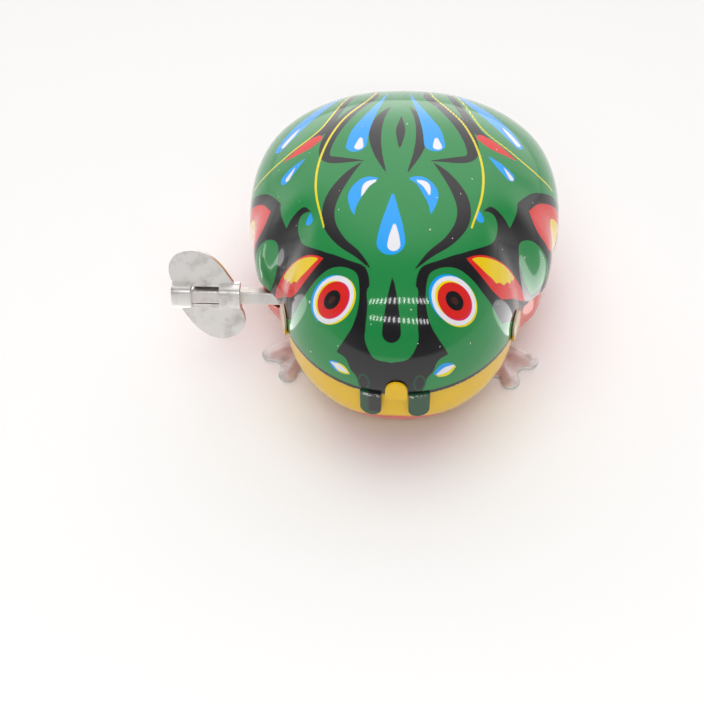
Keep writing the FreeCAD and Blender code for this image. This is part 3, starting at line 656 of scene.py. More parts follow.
# ---- finishes ----------------------------------------------------------------
class Nodes:
    """Small helper round the node tree of a new material or world."""

    def __init__(self, owner: bpy.types.ID) -> None:
        """Switches nodes on and finds the one shader.

        Args:
            owner: The new material or world.
        """
        owner.use_nodes = True
        self.owner, self.tree = owner, owner.node_tree
        self.shader = next(n for n in self.tree.nodes if n.type in {"BSDF_PRINCIPLED", "BACKGROUND"})

    def add(self, kind: str, **values: object) -> bpy.types.Node:
        """Adds a node.

        Args:
            kind: Blender's name for the node.
            **values: The node's properties.

        Returns:
            The node.
        """
        node = self.tree.nodes.new(kind)
        for key, value in values.items():
            setattr(node, key, value)
        return node

    def plug(self, value: object, socket: bpy.types.NodeSocket) -> None:
        """Feeds a socket.

        Args:
            value: Another socket, a number or a row of numbers.
            socket: The socket to feed.
        """
        if isinstance(value, bpy.types.NodeSocket):
            self.tree.links.new(value, socket)
        else:
            socket.default_value = value

    def place(self, kind: str = "Object") -> bpy.types.NodeSocket:
        """Adds the coordinates of the surface in its own piece, or of the view in a world."""
        return self.add("ShaderNodeTexCoord").outputs[kind]

    def axes(self, place: bpy.types.NodeSocket) -> list[bpy.types.NodeSocket]:
        """Splits coordinates.

        Args:
            place: The coordinates.

        Returns:
            The sockets of X, Y and Z.
        """
        node = self.add("ShaderNodeSeparateXYZ")
        self.plug(place, node.inputs[0])
        return list(node.outputs)

    def stored(self, name: str) -> bpy.types.NodeSocket:
        """Reads a number kept on the mesh's points."""
        node = self.add("ShaderNodeAttribute", attribute_type="GEOMETRY", attribute_name=name)
        return node.outputs["Fac"]

    def math(self, kind: str, a: object, b: object = 0.0, c: object = 0.0,
             clamp: bool = False) -> bpy.types.NodeSocket:
        """Adds a Math node.

        Args:
            kind: Blender's name for the operation.
            a: First socket or number.
            b: Second socket or number.
            c: Third socket or number.
            clamp: Whether the result is kept between 0 and 1.

        Returns:
            The result.
        """
        node = self.add("ShaderNodeMath", operation=kind, use_clamp=clamp)
        for socket, value in zip(node.inputs, (a, b, c)):
            self.plug(value, socket)
        return node.outputs[0]

    def mix(self, share: object, a: object, b: object, kind: str = "MIX") -> bpy.types.NodeSocket:
        """Adds a colour Mix node.

        Args:
            share: Share of the second colour, a socket or a number.
            a: First colour, a socket or three numbers.
            b: Second colour, a socket or three numbers.
            kind: Blender's name for the way of mixing.

        Returns:
            The mixed colour.
        """
        node = self.add("ShaderNodeMix", data_type="RGBA", blend_type=kind)
        for key, value in ((0, share), (6, a), (7, b)):
            self.plug((*value, 1.0) if isinstance(value, tuple) else value, node.inputs[key])
        return node.outputs[2]

    def noise(self, scale: float, detail: float = 3.0, stretch: tuple = (1.0, 1.0, 1.0),
              rough: float = 0.5) -> bpy.types.NodeSocket:
        """Adds a noise pattern on the piece's own coordinates.

        Args:
            scale: Repeats per metre.
            detail: Steps of finer noise.
            stretch: Scale along each axis.
            rough: Strength of the finer steps.

        Returns:
            The pattern.
        """
        turn = self.add("ShaderNodeMapping")
        turn.inputs["Scale"].default_value = stretch
        self.plug(self.place(), turn.inputs["Vector"])
        node = self.add("ShaderNodeTexNoise")
        for key, value in (("Scale", scale), ("Detail", detail), ("Roughness", rough),
                           ("Vector", turn.outputs[0])):
            self.plug(value, node.inputs[key])
        return node.outputs["Fac"]

    def spread(self, value: bpy.types.NodeSocket, low: float, high: float, to_low: float,
               to_high: float, curve: str = "LINEAR") -> bpy.types.NodeSocket:
        """Maps a range of values onto another one, held at its ends.

        Args:
            value: The values.
            low: Start of their range.
            high: End of their range.
            to_low: Start of the new range.
            to_high: End of the new range.
            curve: Blender's name for the way between the ends.

        Returns:
            The mapped values.
        """
        node = self.add("ShaderNodeMapRange", interpolation_type=curve)
        for key, number in (("Value", value), ("From Min", low), ("From Max", high), ("To Min", to_low),
                            ("To Max", to_high)):
            self.plug(number, node.inputs[key])
        return node.outputs[0]

    def bump(self, height: bpy.types.NodeSocket, strength: float, distance: float) -> None:
        """Adds relief to the shader's normal.

        Args:
            height: Pattern of the relief.
            strength: How much of it shows.
            distance: Its full height in metres.
        """
        node = self.add("ShaderNodeBump")
        for key, value in (("Strength", strength), ("Distance", distance), ("Height", height)):
            self.plug(value, node.inputs[key])
        self.plug(node.outputs[0], self.shader.inputs["Normal"])

    def set(self, **values: object) -> None:
        """Feeds the shader's sockets; underscores stand for spaces."""
        for key, value in values.items():
            self.plug(value, self.shader.inputs[key.replace("_", " ")])

    def varnish(self, roughest: float, weight: float, gloss: float) -> None:
        """Lays clear varnish on slightly wavy tin.

        Args:
            roughest: Highest roughness of the ink below.
            weight: Weight of the varnish.
            gloss: Roughness of the varnish.
        """
        self.set(Roughness=self.spread(self.noise(900.0, 4.0), 0.3, 0.7, 0.30, roughest))
        self.bump(self.noise(330.0, 2.0), 0.10, 0.0006)
        self.set(Specular_IOR_Level=0.1, Coat_Weight=weight, Coat_Roughness=gloss, Coat_IOR=1.5)


@dataclass(frozen=True)
class Lithograph:
    """Varnished print on tin: layers of ink over a ground colour."""

    name: str
    ground: Ink
    layers: tuple[Layer, ...] = ()
    edge: float = 0.10
    wear_and_highlight: bool = False
    fleck: tuple[float, float] = (0.872, 0.876)
    fleck_colour: tuple[float, float, float] = (0.8, 0.8, 0.78)
    grain_colour: tuple[float, float, float] = (0.75, 0.75, 0.75)
    bare_and_highlight_colour: tuple[float, float, float] = (0.45, 0.46, 0.44)

    def make(self) -> bpy.types.Material:
        """Builds the material; each layer reads its own depth attribute.

        Returns:
            The material.
        """
        n = Nodes(bpy.data.materials.new(self.name))
        faded = tuple(0.75 * v + 0.02 for v in self.ground.value)
        colour = n.mix(n.spread(n.noise(260.0, 2.0), 0.3, 0.7, 0.0, 0.16), self.ground.value, faded)
        for layer in self.layers:
            share = n.math("MULTIPLY_ADD", n.stored(layer.name), 1 / self.edge, 0.5, clamp=True)
            colour = n.mix(share, colour, layer.ink.value)
        colour = n.mix(n.spread(n.noise(1500.0, 0.0), *self.fleck, 0.0, 0.8), colour, self.fleck_colour)
        grain = n.spread(n.noise(4200.0, 1.0), 0.35, 0.7, 0.0, 0.10)
        colour = n.mix(grain, colour, self.grain_colour, "MULTIPLY")
        # Pale flakes of bare tin: real wear along the shell's rim. On the tongues, the pale line along
        # each fold is partly wear and partly a painted highlight of the bend.
        if self.wear_and_highlight:
            flake = n.spread(n.noise(2300.0, 3.0), 0.54, 0.6, 0.0, 1.0)
            share = n.math("MULTIPLY_ADD", n.stored("wear_and_highlight"), 8.0, 0.5, clamp=True)
            colour = n.mix(n.math("MULTIPLY", share, flake), colour, self.bare_and_highlight_colour)
        n.set(Base_Color=colour)
        n.varnish(0.40, 1.0, 0.07)
        return n.owner


@dataclass(frozen=True)
class Metal:
    """Bare metal with fine rolling lines, dull clouds and small stains."""

    name: str
    colour: tuple[float, float, float]
    stain: tuple[float, float, float]
    rough: tuple[float, float]
    grain: tuple[float, float, float] = (1.0, 14.0, 14.0)
    stains: float = 0.35
    relief: float = 0.12
    bare: float = 1.0

    def make(self) -> bpy.types.Material:
        """Builds the material.

        Returns:
            The material.
        """
        n = Nodes(bpy.data.materials.new(self.name))
        cloud = n.noise(420.0, 5.0, rough=0.6)
        lines = n.noise(900.0, 3.0, self.grain)
        n.set(Base_Color=n.mix(n.spread(cloud, 0.48, 0.72, 0.0, self.stains), self.colour, self.stain),
              Roughness=n.spread(n.math("ADD", lines, cloud), 0.7, 1.3, *self.rough), Metallic=self.bare)
        n.bump(n.math("MULTIPLY_ADD", cloud, 2.0, lines), self.relief, 0.0001)
        return n.owner


class MetalKind(Enum):
    """Bare metals of the toy and its movement."""

    BRIGHT = Metal("bright_key_steel", (0.93, 0.91, 0.89), (0.52, 0.48, 0.45), (0.36, 0.52), stains=0.6)
    LEG = Metal("leg_steel_sheet", (0.80, 0.78, 0.77), (0.50, 0.45, 0.42), (0.42, 0.60),
                grain=(1.0, 6.0, 1.0), stains=0.8, relief=0.30, bare=0.6)
    PLATE = Metal("movement_plate_steel", (0.56, 0.56, 0.57), (0.30, 0.27, 0.24), (0.28, 0.42))
    SPRING = Metal("blued_spring_steel", (0.30, 0.33, 0.40), (0.17, 0.15, 0.15), (0.18, 0.3),
                   grain=(1.0, 20.0, 1.0))
    BRASS = Metal("stamped_brass_sheet", (0.80, 0.58, 0.22), (0.42, 0.27, 0.11), (0.24, 0.4),
                  grain=(14.0, 1.0, 14.0))
    TURNED = Metal("turned_steel_bar", (0.80, 0.77, 0.74), (0.34, 0.31, 0.28), (0.3, 0.44),
                   grain=(30.0, 1.0, 1.0))


@dataclass(frozen=True)
class BellyPrint:
    """Warm yellow belly with a red band below and striped tabs at the neck."""

    name: str = "printed_belly_tin"
    sun_faded: tuple[float, float, float] = (0.86, 0.53, 0.02)
    chin: tuple[float, float] = (-18.5, -14.5)
    band_z: float = 10.0
    band_blur: float = 0.3
    band_fall: float = 28.0
    band_wave: float = 0.5
    rise: float = 8.0
    base_z: tuple[float, float] = (4.2, 4.5)
    tab_x: float = 14.0
    tab_y: float = -12.0
    tab_z: float = 15.2
    tab_colour: tuple[float, float, float] = (0.66, 0.50, 0.34)
    stripe_z: tuple[float, float] = (16.6, 17.0)
    stripe_colour: tuple[float, float, float] = (0.72, 0.42, 0.05)

    def band(self, n: Nodes, axes: Sequence[bpy.types.NodeSocket]) -> bpy.types.NodeSocket:
        """Draws the red: a low band under the chin, and all of the wall behind it.

        Args:
            n: The material's nodes.
            axes: Sockets of X, Y and Z.

        Returns:
            Where the red is.
        """
        x, y, z = axes
        wave = n.math("MULTIPLY_ADD", n.noise(420.0, 2.0), self.band_wave * MM, z)
        chin = n.spread(y, self.chin[0] * MM, self.chin[1] * MM, 1.0, 0.0)
        curve = n.math("MULTIPLY", n.math("MULTIPLY", x, x), chin)
        level = n.math("MULTIPLY_ADD", curve, self.band_fall, wave)
        level = n.math("MULTIPLY_ADD", chin, self.rise * MM, n.math("SUBTRACT", level, self.rise * MM))
        blur = self.band_blur
        low = n.spread(level, (self.band_z - blur) * MM, (self.band_z + blur) * MM, 1.0, 0.0)
        return n.math("MULTIPLY", low, n.spread(z, self.base_z[0] * MM, self.base_z[1] * MM, 0.0, 1.0))

    def tab(self, n: Nodes, axes: Sequence[bpy.types.NodeSocket]) -> bpy.types.NodeSocket:
        """Finds the neck tabs, which stand outside the shell at both sides.

        Args:
            n: The material's nodes.
            axes: Sockets of X, Y and Z.

        Returns:
            Where the tabs are.
        """
        x, y, z = axes
        outer = n.spread(n.math("ABSOLUTE", x), self.tab_x * MM, (self.tab_x + 0.2) * MM, 0.0, 1.0)
        above = n.spread(z, self.tab_z * MM, (self.tab_z + 0.1) * MM, 0.0, 1.0)
        ahead = n.spread(y, self.tab_y * MM, (self.tab_y + 0.1) * MM, 1.0, 0.0)
        return n.math("MULTIPLY", n.math("MULTIPLY", outer, above), ahead)

    def make(self) -> bpy.types.Material:
        """Builds the material from the belly's own coordinates.

        Returns:
            The material.
        """
        n = Nodes(bpy.data.materials.new(self.name))
        axes = n.axes(n.place())
        cloud = n.spread(n.noise(260.0, 2.0), 0.3, 0.7, 0.0, 0.25)
        colour = n.mix(cloud, Ink.CHIN_YELLOW.value, self.sun_faded)
        colour = n.mix(self.band(n, axes), colour, Ink.CHIN_RED.value)
        tab = self.tab(n, axes)
        stripe = n.spread(axes[2], self.stripe_z[0] * MM, self.stripe_z[1] * MM, 1.0, 0.0)
        colour = n.mix(tab, colour, self.tab_colour)
        n.set(Base_Color=n.mix(n.math("MULTIPLY", tab, stripe), colour, self.stripe_colour))
        n.varnish(0.42, 0.7, 0.08)
        return n.owner


# ---- pieces ------------------------------------------------------------------
@dataclass
class BackShell:
    """Printed upper shell with its head, shoulders and haunches."""

    dome: Dome = field(default_factory=Dome)
    cells: tuple[int, int] = (250, 290)
    crowding: float = 1.25
    inner_levels: tuple = (0, 6, 13, 21, 30, 40, 52, 64, 76, 85)
    rim_line: float = 0.7
    worn_edge: float = 0.12

    def build(self) -> bpy.types.Object:
        """Makes the shell: a fine outer skin, a rim and an inner skin.

        Returns:
            The shell's mesh object.
        """
        piece = grid("back_shell_tin", *self.cells)[0]
        u, v = points_of(piece)[:, :2].T
        x, y = u * np.sqrt(1 - v * v / 2), v * np.sqrt(1 - u * u / 2)
        reach = np.clip(np.hypot(x, y), 0, 1)
        angle = np.degrees(np.arctan2(x, -y))
        level = np.degrees(np.arccos(np.clip(np.sin(reach * math.pi / 2) ** self.crowding, 0, 1)))
        set_points(piece, self.dome.place(angle, level))
        self.line(piece)
        spots = self.dome.flat(angle, level)
        rim = np.linalg.norm(self.dome.flat(angle, np.zeros(len(level))) - spots, axis=1)
        self.print_on(piece, spots, rim)
        return piece

    def line(self, piece: bpy.types.Object) -> None:
        """Carries the open edge round the rim and up the inner side to the crown.

        Args:
            piece: The outer skin.
        """
        bpy.context.view_layer.objects.active = piece
        bpy.ops.object.mode_set(mode="EDIT")
        bpy.ops.mesh.select_mode(type="EDGE")
        bpy.ops.mesh.select_all(action="DESELECT")
        bpy.ops.mesh.select_non_manifold(extend=False)
        for level in self.inner_levels:
            bpy.ops.mesh.extrude_region_move()
            bpy.ops.object.mode_set(mode="OBJECT")
            rows, chosen = points_of(piece), picked(piece)
            angle = np.degrees(np.arctan2(rows[chosen, 0], -rows[chosen, 1]))
            rows[chosen] = self.dome.place(angle, np.full(len(angle), float(level)), -self.dome.tin)
            set_points(piece, rows)
            bpy.ops.object.mode_set(mode="EDIT")
        bpy.ops.mesh.extrude_region_move()
        bpy.ops.mesh.merge(type="CENTER")
        edit_all(piece, bpy.ops.mesh.normals_make_consistent, inside=False)
        smooth(piece, 40)

    def print_on(self, piece: bpy.types.Object, spots: np.ndarray, rim: np.ndarray) -> None:
        """Stores each layer's depth on the mesh's points; the inner side stays plain.

        Args:
            piece: The shell.
            spots: Place of each outer point on the flat sheet.
            rim: Distance of each outer point from the lower edge.
        """
        for layer in back_layers():
            depth = layer.depth(spots)
            # The black layer also gets a thin band along the lower rim, where the shell meets the belly.
            if layer.name == "ink_black":
                depth = np.maximum(depth, self.rim_line - rim)
            store(piece, layer.name, depth)
        store(piece, "wear_and_highlight", self.worn_edge - rim)

    def dress(self, piece: bpy.types.Object) -> None:
        """Gives the shell its print.

        Args:
            piece: The shell.
        """
        finish = Lithograph("printed_back_tin", Ink.GREEN, back_layers(), wear_and_highlight=True)
        piece.data.materials.append(finish.make())
        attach(piece, "root")
        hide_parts("back_shell")


@dataclass
class Tongue:
    """Tongue of the back shell that laps down over the belly."""

    name: str
    x: float
    dome: Dome
    facing: float = 1.0
    dark_half: bool = False
    width: float = 3.2
    reach: float = 5.0
    lap: float = 0.35
    gap: float = 0.15
    clear: float = 0.02
    bend: float = 7.5
    floor_z: float = 4.0
    # Reach of the pale line along the fold, which is partly wear and partly a painted highlight of the
    # bend.
    fold_wear_and_highlight: float = 0.30

    def wall(self, x: np.ndarray, z: np.ndarray) -> np.ndarray:
        """Finds how far forward the tongue's outer face lies.

        Args:
            x: Places across.
            z: Heights.

        Returns:
            The distance from the middle of the toy at each place.
        """
        out = self.dome.tin + self.gap
        bend = self.bend + out
        drop = np.clip(bend - (z - self.floor_z + out), 0, None)
        inset = bend - np.sqrt(bend * bend - drop * drop)
        angle = np.degrees(np.arcsin(np.clip(x / along(self.dome.seam, 0.0), -1, 1)))
        for _ in range(6):
            r = along(self.dome.seam, angle if self.facing > 0 else 180 - angle) - inset
            angle = np.degrees(np.arcsin(np.clip(x / r, -1, 1)))
        return r * np.cos(np.radians(angle))

    def build(self) -> bpy.types.Object:
        """Makes the tongue with a round end and its thickness.

        Returns:
            The tongue's mesh object.
        """
        piece, across, down = grid(self.name, 16, 34)
        half = self.width / 2
        run = -self.lap + down * (self.reach + self.lap)
        tip = np.clip((run - (self.reach - half)) / half, 0, 1)
        x = self.x + across * half * np.sqrt(np.clip(1 - tip * tip, 0.0004, 1))
        z = self.dome.seam_z - run
        y = -self.facing * (self.wall(x, z) + self.clear)
        set_points(piece, np.stack([x, y, z], -1))
        if self.facing < 0:
            edit_all(piece, bpy.ops.mesh.flip_normals)
        if self.dark_half:
            dark = np.maximum(np.where(down < 0.8, across * half + 0.3, -0.4), OUTSIDE)
        else:
            dark = np.full(len(across), OUTSIDE)
        store(piece, "ink_black", dark)
        # Pale line along the fold: partly wear, partly a painted highlight where the bend catches the
        # light.
        store(piece, "wear_and_highlight", self.fold_wear_and_highlight - np.abs(run - 0.1))
        finish_with(piece, "SOLIDIFY", thickness=-self.dome.tin * MM, offset=-1.0)
        round_edges(piece, 0.1, 2)
        smooth(piece, 40)
        return piece

    def dress(self, piece: bpy.types.Object, finish: bpy.types.Material) -> None:
        """Gives the tongue its print.

        Args:
            piece: The tongue.
            finish: The printed tin.
        """
        piece.data.materials.append(finish)
        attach(piece, "root")
        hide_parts("back_shell")


@dataclass
class WingKey:
    """Stamped two-winged key, slit and bowed round its square arbor."""

    middle: tuple[float, float, float] = (-32.8, -11.0, 14.0)
    lean: float = 20.0
    thick: float = 0.8
    wing: tuple = ((-5.2, 1.6), (-6.0, 2.8), (-6.3, 4.1), (-6.1, 5.6), (-5.2, 7.0), (-3.8, 7.9),
                   (-2.0, 8.3), (-0.2, 7.9), (1.5, 6.9), (2.9, 5.4), (3.9, 3.8), (4.6, 2.6), (5.0, 1.6))
    bands: tuple = ((-5.8, -2.5, -1), (-2.4, 2.2, 1), (2.3, 5.8, -1))
    bow: tuple = ((0.0, -2.4), (0.0, -2.15), (-0.3, -1.85), (-1.05, -1.6), (-1.45, -1.25), (-1.55, -0.6),
                  (-1.55, 0.6), (-1.45, 1.25), (-1.05, 1.6), (-0.3, 1.85), (0.0, 2.15), (0.0, 2.4))

    def turned(self, rows: np.ndarray) -> np.ndarray:
        """Places the flat key at its lean.

        Args:
            rows: Points as (along the arbor, off the sheet, up the wing).

        Returns:
            Rows of x, y and z.
        """
        c, s = math.cos(math.radians(self.lean)), math.sin(math.radians(self.lean))
        x, off, up = rows.T
        return np.stack([self.middle[0] + x, self.middle[1] + c * off + s * up,
                         self.middle[2] - s * off + c * up], -1)

    def blade(self, name: str, side: int) -> bpy.types.Object:
        """Makes one wing: a filled outline, thickened and softly rounded.

        Args:
            name: Name of the mesh.
            side: 1 for the upper wing and -1 for the lower one.

        Returns:
            The wing's mesh object.
        """
        rows = flow(self.wing, steps=6)
        clear_selection()
        bpy.ops.mesh.primitive_circle_add(vertices=len(rows), radius=MM, fill_type="NGON")
        piece = named(name)
        set_points(piece, np.stack([side * rows[:, 0], np.zeros(len(rows)), side * rows[:, 1]], -1))
        finish_with(piece, "SOLIDIFY", thickness=self.thick * MM, offset=0.0)
        round_edges(piece, 0.22, 3)
        return piece

    def band(self, name: str, start: float, stop: float, side: int) -> bpy.types.Object:
        """Makes one strip bowed over the arbor.

        Args:
            name: Name of the mesh.
            start: Where the strip starts along the arbor.
            stop: Where the strip ends along the arbor.
            side: -1 for a strip in front of the arbor and 1 for one behind it.

        Returns:
            The strip's mesh object.
        """
        piece, across, down = grid(name, 8, 44)
        rows = flow(self.bow, steps=4)
        off, up = (np.interp(down, np.linspace(0, 1, len(rows)), column) for column in rows.T)
        x = (start + stop) / 2 + across * (stop - start) / 2
        set_points(piece, np.stack([x, -side * off, up], -1))
        finish_with(piece, "SOLIDIFY", thickness=self.thick * MM, offset=0.0)
        round_edges(piece, 0.15, 2)
        finish_with(piece, "WELD", merge_threshold=0.002 * MM)
        return piece

    def build(self) -> bpy.types.Object:
        """Makes both wings and the three bands as one stamping.

        Returns:
            The key's mesh object.
        """
        parts = [self.blade("key_upper", 1), self.blade("key_lower", -1)]
        parts += [self.band(f"key_band_{k}", *band) for k, band in enumerate(self.bands)]
        piece = joined(parts, "wing_key_stamping")
        set_points(piece, self.turned(points_of(piece)))
        edit_all(piece, bpy.ops.mesh.normals_make_consistent, inside=False)
        smooth(piece, 40)
        finish_with(piece, "WEIGHTED_NORMAL", weight=80, keep_sharp=True)
        return piece

    def dress(self, piece: bpy.types.Object) -> None:
        """Gives the key its bright steel.

        Args:
            piece: The key.
        """
        piece.data.materials.append(MetalKind.BRIGHT.value.make())
        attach(piece, "winding")
        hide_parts("wing_key")


@dataclass
class StampedLegs:
    """A pair of legs: the CAD sheet softened, with ribs pressed along its toes."""

    node: str
    body: str
    name: str
    toes: tuple[tuple[float, float, float], ...]
    hub: tuple[float, float]
    voxel: float = 0.17
    rib: float = 0.28
    rib_width: float = 1.05
    full: float = 0.75
    full_from: float = 2.0
    flat_z: float = 0.75

    def ribs(self, spot: np.ndarray) -> np.ndarray:
        """Measures the ribs, which rise from the hub towards each toe's tip.

        Args:
            spot: Places on the foot, folded onto its right side.

        Returns:
            The rise at each place.
        """
        lift = np.zeros(len(spot))
        hub = np.asarray(self.hub)
        for x, y, r in self.toes:
            run = np.asarray((x, y)) - hub
            share = np.clip((spot - hub) @ run / (run @ run), 0.25, 1)
            gap = np.linalg.norm(spot - hub - share[:, None] * run, axis=1)
            rise = self.rib * np.exp(-(gap / (self.rib_width * r)) ** 2)
            lift = np.maximum(lift, rise * np.clip(share * 2.2 - 0.5, 0, 1))
        return lift

    def build(self, node: bpy.types.Object) -> bpy.types.Object:
        """Copies the sheet, gives it an even fine mesh, fills out its toes and raises the ribs.

        Args:
            node: The CAD node of the legs.

        Returns:
            The legs' mesh object.
        """
        piece = merged_copy(node, self.name)
        finish_with(piece, "REMESH", mode="VOXEL", voxel_size=self.voxel * MM, adaptivity=0.0)
        finish_with(piece, "SMOOTH", factor=0.5, iterations=2)
        rows = points_of(piece)
        rows[:, 2] -= rows[:, 2].min()
        foot = rows[:, 2] < self.flat_z
        spot = np.stack([np.abs(rows[:, 0]), rows[:, 1]], -1)
        outwards = np.asarray([vert.normal for vert in piece.data.vertices])[:, :2]
        wide = np.clip((spot[:, 0] - self.hub[0]) / self.full_from, 0, 1) * foot
        rows[:, :2] += outwards * (wide * self.full)[:, None]
        rows[:, 2] += np.where(foot, self.ribs(spot), 0)
        set_points(piece, rows)
        smooth(piece, 60)
        return piece

    def dress(self, piece: bpy.types.Object, finish: bpy.types.Material) -> None:
        """Gives the legs their sheet steel.

        Args:
            piece: The legs.
            finish: The steel.
        """
        piece.data.materials.clear()
        piece.data.materials.append(finish)
        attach(piece, self.body)
        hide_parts(self.node)


@dataclass
class Movement:
    """Finishes of the CAD nodes that stay as they are."""

    kinds: dict[str, MetalKind] = field(default_factory=lambda: {
        "bright_steel": MetalKind.BRIGHT, "leg_steel": MetalKind.LEG,
        "plate_steel": MetalKind.PLATE, "spring_steel": MetalKind.SPRING,
        "stamped_brass": MetalKind.BRASS, "turned_steel": MetalKind.TURNED})

    def slot_of(self, node: bpy.types.Object) -> str:
        """Reads a CAD node's slot from the material that it came with.

        Args:
            node: The CAD node.

        Returns:
            Name of the slot.
        """
        names = [material.name.split(".")[0] for material in node.data.materials if material]
        return names[-1] if names else "turned_steel"

    def dress(self, frame: dict) -> None:
        """Puts each finish on the nodes of its slot.

        Args:
            frame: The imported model.
        """
        made = {slot: kind.value.make() for slot, kind in self.kinds.items()}
        made["printed_tin_belly"] = BellyPrint().make()
        made["printed_tin_back"] = Lithograph("plain_back_tin", Ink.GREEN).make()
        for node in frame["nodes"].values():
            finish = made[self.slot_of(node)]
            for k in range(len(node.data.materials)):
                node.data.materials[k] = finish
            if not node.data.materials:
                node.data.materials.append(finish)


# ---- studio ------------------------------------------------------------------
class LampShape(Enum):
    """Outlines of the studio's lamps."""

    PANEL = "RECTANGLE"
    MAT = "ELLIPSE"


@dataclass(frozen=True)
class Lamp:
    """Soft lamp; place and aim are in millimetres, size is in metres and power in watts."""

    name: str
    place: tuple[float, float, float]
    aim: tuple[float, float, float]
    size: tuple[float, float]
    power: float
    tint: tuple[float, float, float] = (1.0, 1.0, 1.0)
    shape: LampShape = LampShape.PANEL
    reflected: bool = True

    def hang(self) -> None:
        """Puts the lamp in the scene, out of the camera's own sight."""
        lamp = bpy.data.lights.new(self.name, "AREA")
        lamp.shape, lamp.size, lamp.size_y = self.shape.value, *self.size
        lamp.energy, lamp.color = self.power, self.tint
        holder = bpy.data.objects.new(self.name, lamp)
        bpy.context.scene.collection.objects.link(holder)
        holder.visible_glossy, holder.visible_camera = self.reflected, False
        holder.location = Vector(self.place) * MM
        holder.rotation_euler = (Vector(self.aim) - Vector(self.place)).to_track_quat("-Z", "Y").to_euler()


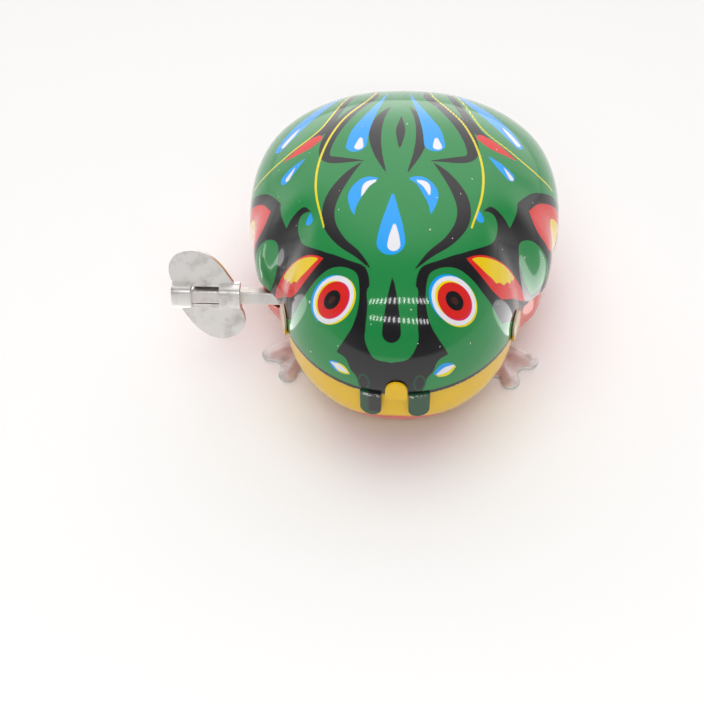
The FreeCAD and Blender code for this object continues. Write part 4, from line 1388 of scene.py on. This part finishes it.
@dataclass
class Studio:
    """Pale floor, soft lights and the camera."""

    eye: tuple[float, float, float] = (2.17, -133.71, 144.99)
    azimuth: float = -4.96
    pitch: float = 49.644
    roll: float = -2.0575
    lens: float = 54.42
    mat_x: float = 140.0
    tubes: int = 15
    tube_gap: float = 41.0
    tube_rows: tuple = ((-393.0, 529.0, 0.06), (-525.0, 398.0, -0.06))
    floor_tones: tuple[float, float] = (0.935, 0.88)

    def floor(self) -> None:
        """Lays a wide flat floor with faint clouds."""
        clear_selection()
        bpy.ops.mesh.primitive_grid_add(x_subdivisions=24, y_subdivisions=24, size=4.0)
        piece = named("studio_floor")
        n = Nodes(bpy.data.materials.new("pale_floor"))
        light, dark = ((tone, tone, tone) for tone in self.floor_tones)
        cloud = n.spread(n.noise(18.0, 3.0), 0.3, 0.7, 0.0, 0.05)
        n.set(Base_Color=n.mix(cloud, light, dark), Roughness=0.55)
        piece.data.materials.append(n.owner)

    def lights(self) -> None:
        """Hangs a wide panel, lays a mat at each side and sets two rows of short tubes."""
        Lamp("top_soft", (-60, -80, 800), (0, 0, 15), (0.9, 0.9), 3.4, (1.0, 0.99, 0.98),
             reflected=False).hang()
        for side, x in (("right", self.mat_x), ("left", -self.mat_x)):
            Lamp(f"{side}_mat", (x, -10, 1), (x, -10, 50), (0.22, 0.022), 0.032,
                 shape=LampShape.MAT).hang()
        for row, (y, z, tilt) in enumerate(self.tube_rows):
            for k in range(self.tubes):
                x = (k - (self.tubes - 1) / 2) * self.tube_gap
                Lamp(f"tube_{row}_{k}", (x, y, z + tilt * x), (0, 0, 20), (0.013, 0.052), 0.042).hang()

    def room(self) -> None:
        """Fills the room with even light: bright low down, dim ahead and with a soft glow behind."""
        n = Nodes(bpy.data.worlds.new("soft_room"))
        way = n.place("Generated")
        _, y, z = n.axes(way)
        low = n.spread(z, 0.0, 0.50, 0.95, 0.16, "SMOOTHERSTEP")
        ahead = n.spread(y, -0.9, 0.5, 0.22, 1.0)
        behind = n.add("ShaderNodeVectorMath", operation="DOT_PRODUCT")
        n.plug(way, behind.inputs[0])
        n.plug((0.0, 0.77, 0.64), behind.inputs[1])
        glow = n.spread(behind.outputs["Value"], 0.40, 1.0, 0.0, 1.1, "SMOOTHERSTEP")
        n.set(Strength=n.math("ADD", n.math("MULTIPLY", low, ahead), glow), Color=(1.0, 0.99, 0.98, 1.0))
        bpy.context.scene.world = n.owner

    def camera(self) -> None:
        """Sets the camera at its place, turned by azimuth, pitch and roll."""
        view = bpy.data.cameras.new("viewer")
        view.lens, view.sensor_width, view.clip_start = self.lens, 36.0, 0.01
        holder = bpy.data.objects.new("viewer", view)
        bpy.context.scene.collection.objects.link(holder)
        az, down, roll = (math.radians(v) for v in (self.azimuth, self.pitch, self.roll))
        ahead = Vector((math.sin(az) * math.cos(down), math.cos(az) * math.cos(down), -math.sin(down)))
        level = ahead.cross(Vector((0, 0, 1))).normalized()
        above = level.cross(ahead)
        right = level * math.cos(roll) + above * math.sin(roll)
        up = above * math.cos(roll) - level * math.sin(roll)
        turn = Matrix((right, up, -ahead)).transposed().to_4x4()
        holder.matrix_world = Matrix.Translation(Vector(self.eye) * MM) @ turn
        bpy.context.scene.camera = holder


def main() -> None:
    """Builds the frog, then its studio."""
    logging.basicConfig(level=logging.INFO, format="%(message)s")
    bpy.context.scene.view_settings.view_transform = "Standard"
    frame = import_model()
    Movement().dress(frame)
    LOG.info("movement and belly: %d nodes", len(frame["nodes"]))
    back = BackShell()
    shell = back.build()
    back.dress(shell)
    LOG.info("back shell: %d faces", len(shell.data.polygons))
    dark_half = Layer("ink_black", Ink.BLACK, ())
    tongue_finish = Lithograph("printed_tongue_tin", Ink.TONGUE_GREEN, (dark_half,), edge=0.5,
                               wear_and_highlight=True).make()
    for tongue in (Tongue("left_chin_tongue", -3.9, back.dome, dark_half=True),
                   Tongue("right_chin_tongue", 3.5, back.dome),
                   Tongue("tail_tongue", 0.0, back.dome, facing=-1.0)):
        tongue.dress(tongue.build(), tongue_finish)
        LOG.info("%s is in place", tongue.name)
    key = WingKey()
    stamping = key.build()
    key.dress(stamping)
    LOG.info("wing key: %d faces", len(stamping.data.polygons))
    front_toes = ((15.4, -16.4, 0.8), (19.4, -16.9, 0.9), (22.8, -12.3, 0.9))
    hind_toes = ((22.8, 24.6, 1.0), (22.6, 30.6, 1.0), (17.0, 34.0, 1.0))
    legs_finish = MetalKind.LEG.value.make()
    for legs in (StampedLegs("front_legs", "root", "front_leg_stamping", front_toes, (16.4, -9.6)),
                 StampedLegs("hind_legs", "hind_legs", "hind_leg_stamping", hind_toes, (11.1, 26.6))):
        sheet = legs.build(frame["nodes"][legs.node])
        legs.dress(sheet, legs_finish)
        LOG.info("%s: %d faces", legs.name, len(sheet.data.polygons))
    studio = Studio()
    studio.floor()
    studio.lights()
    studio.room()
    studio.camera()


if __name__ == "__main__":
    main()
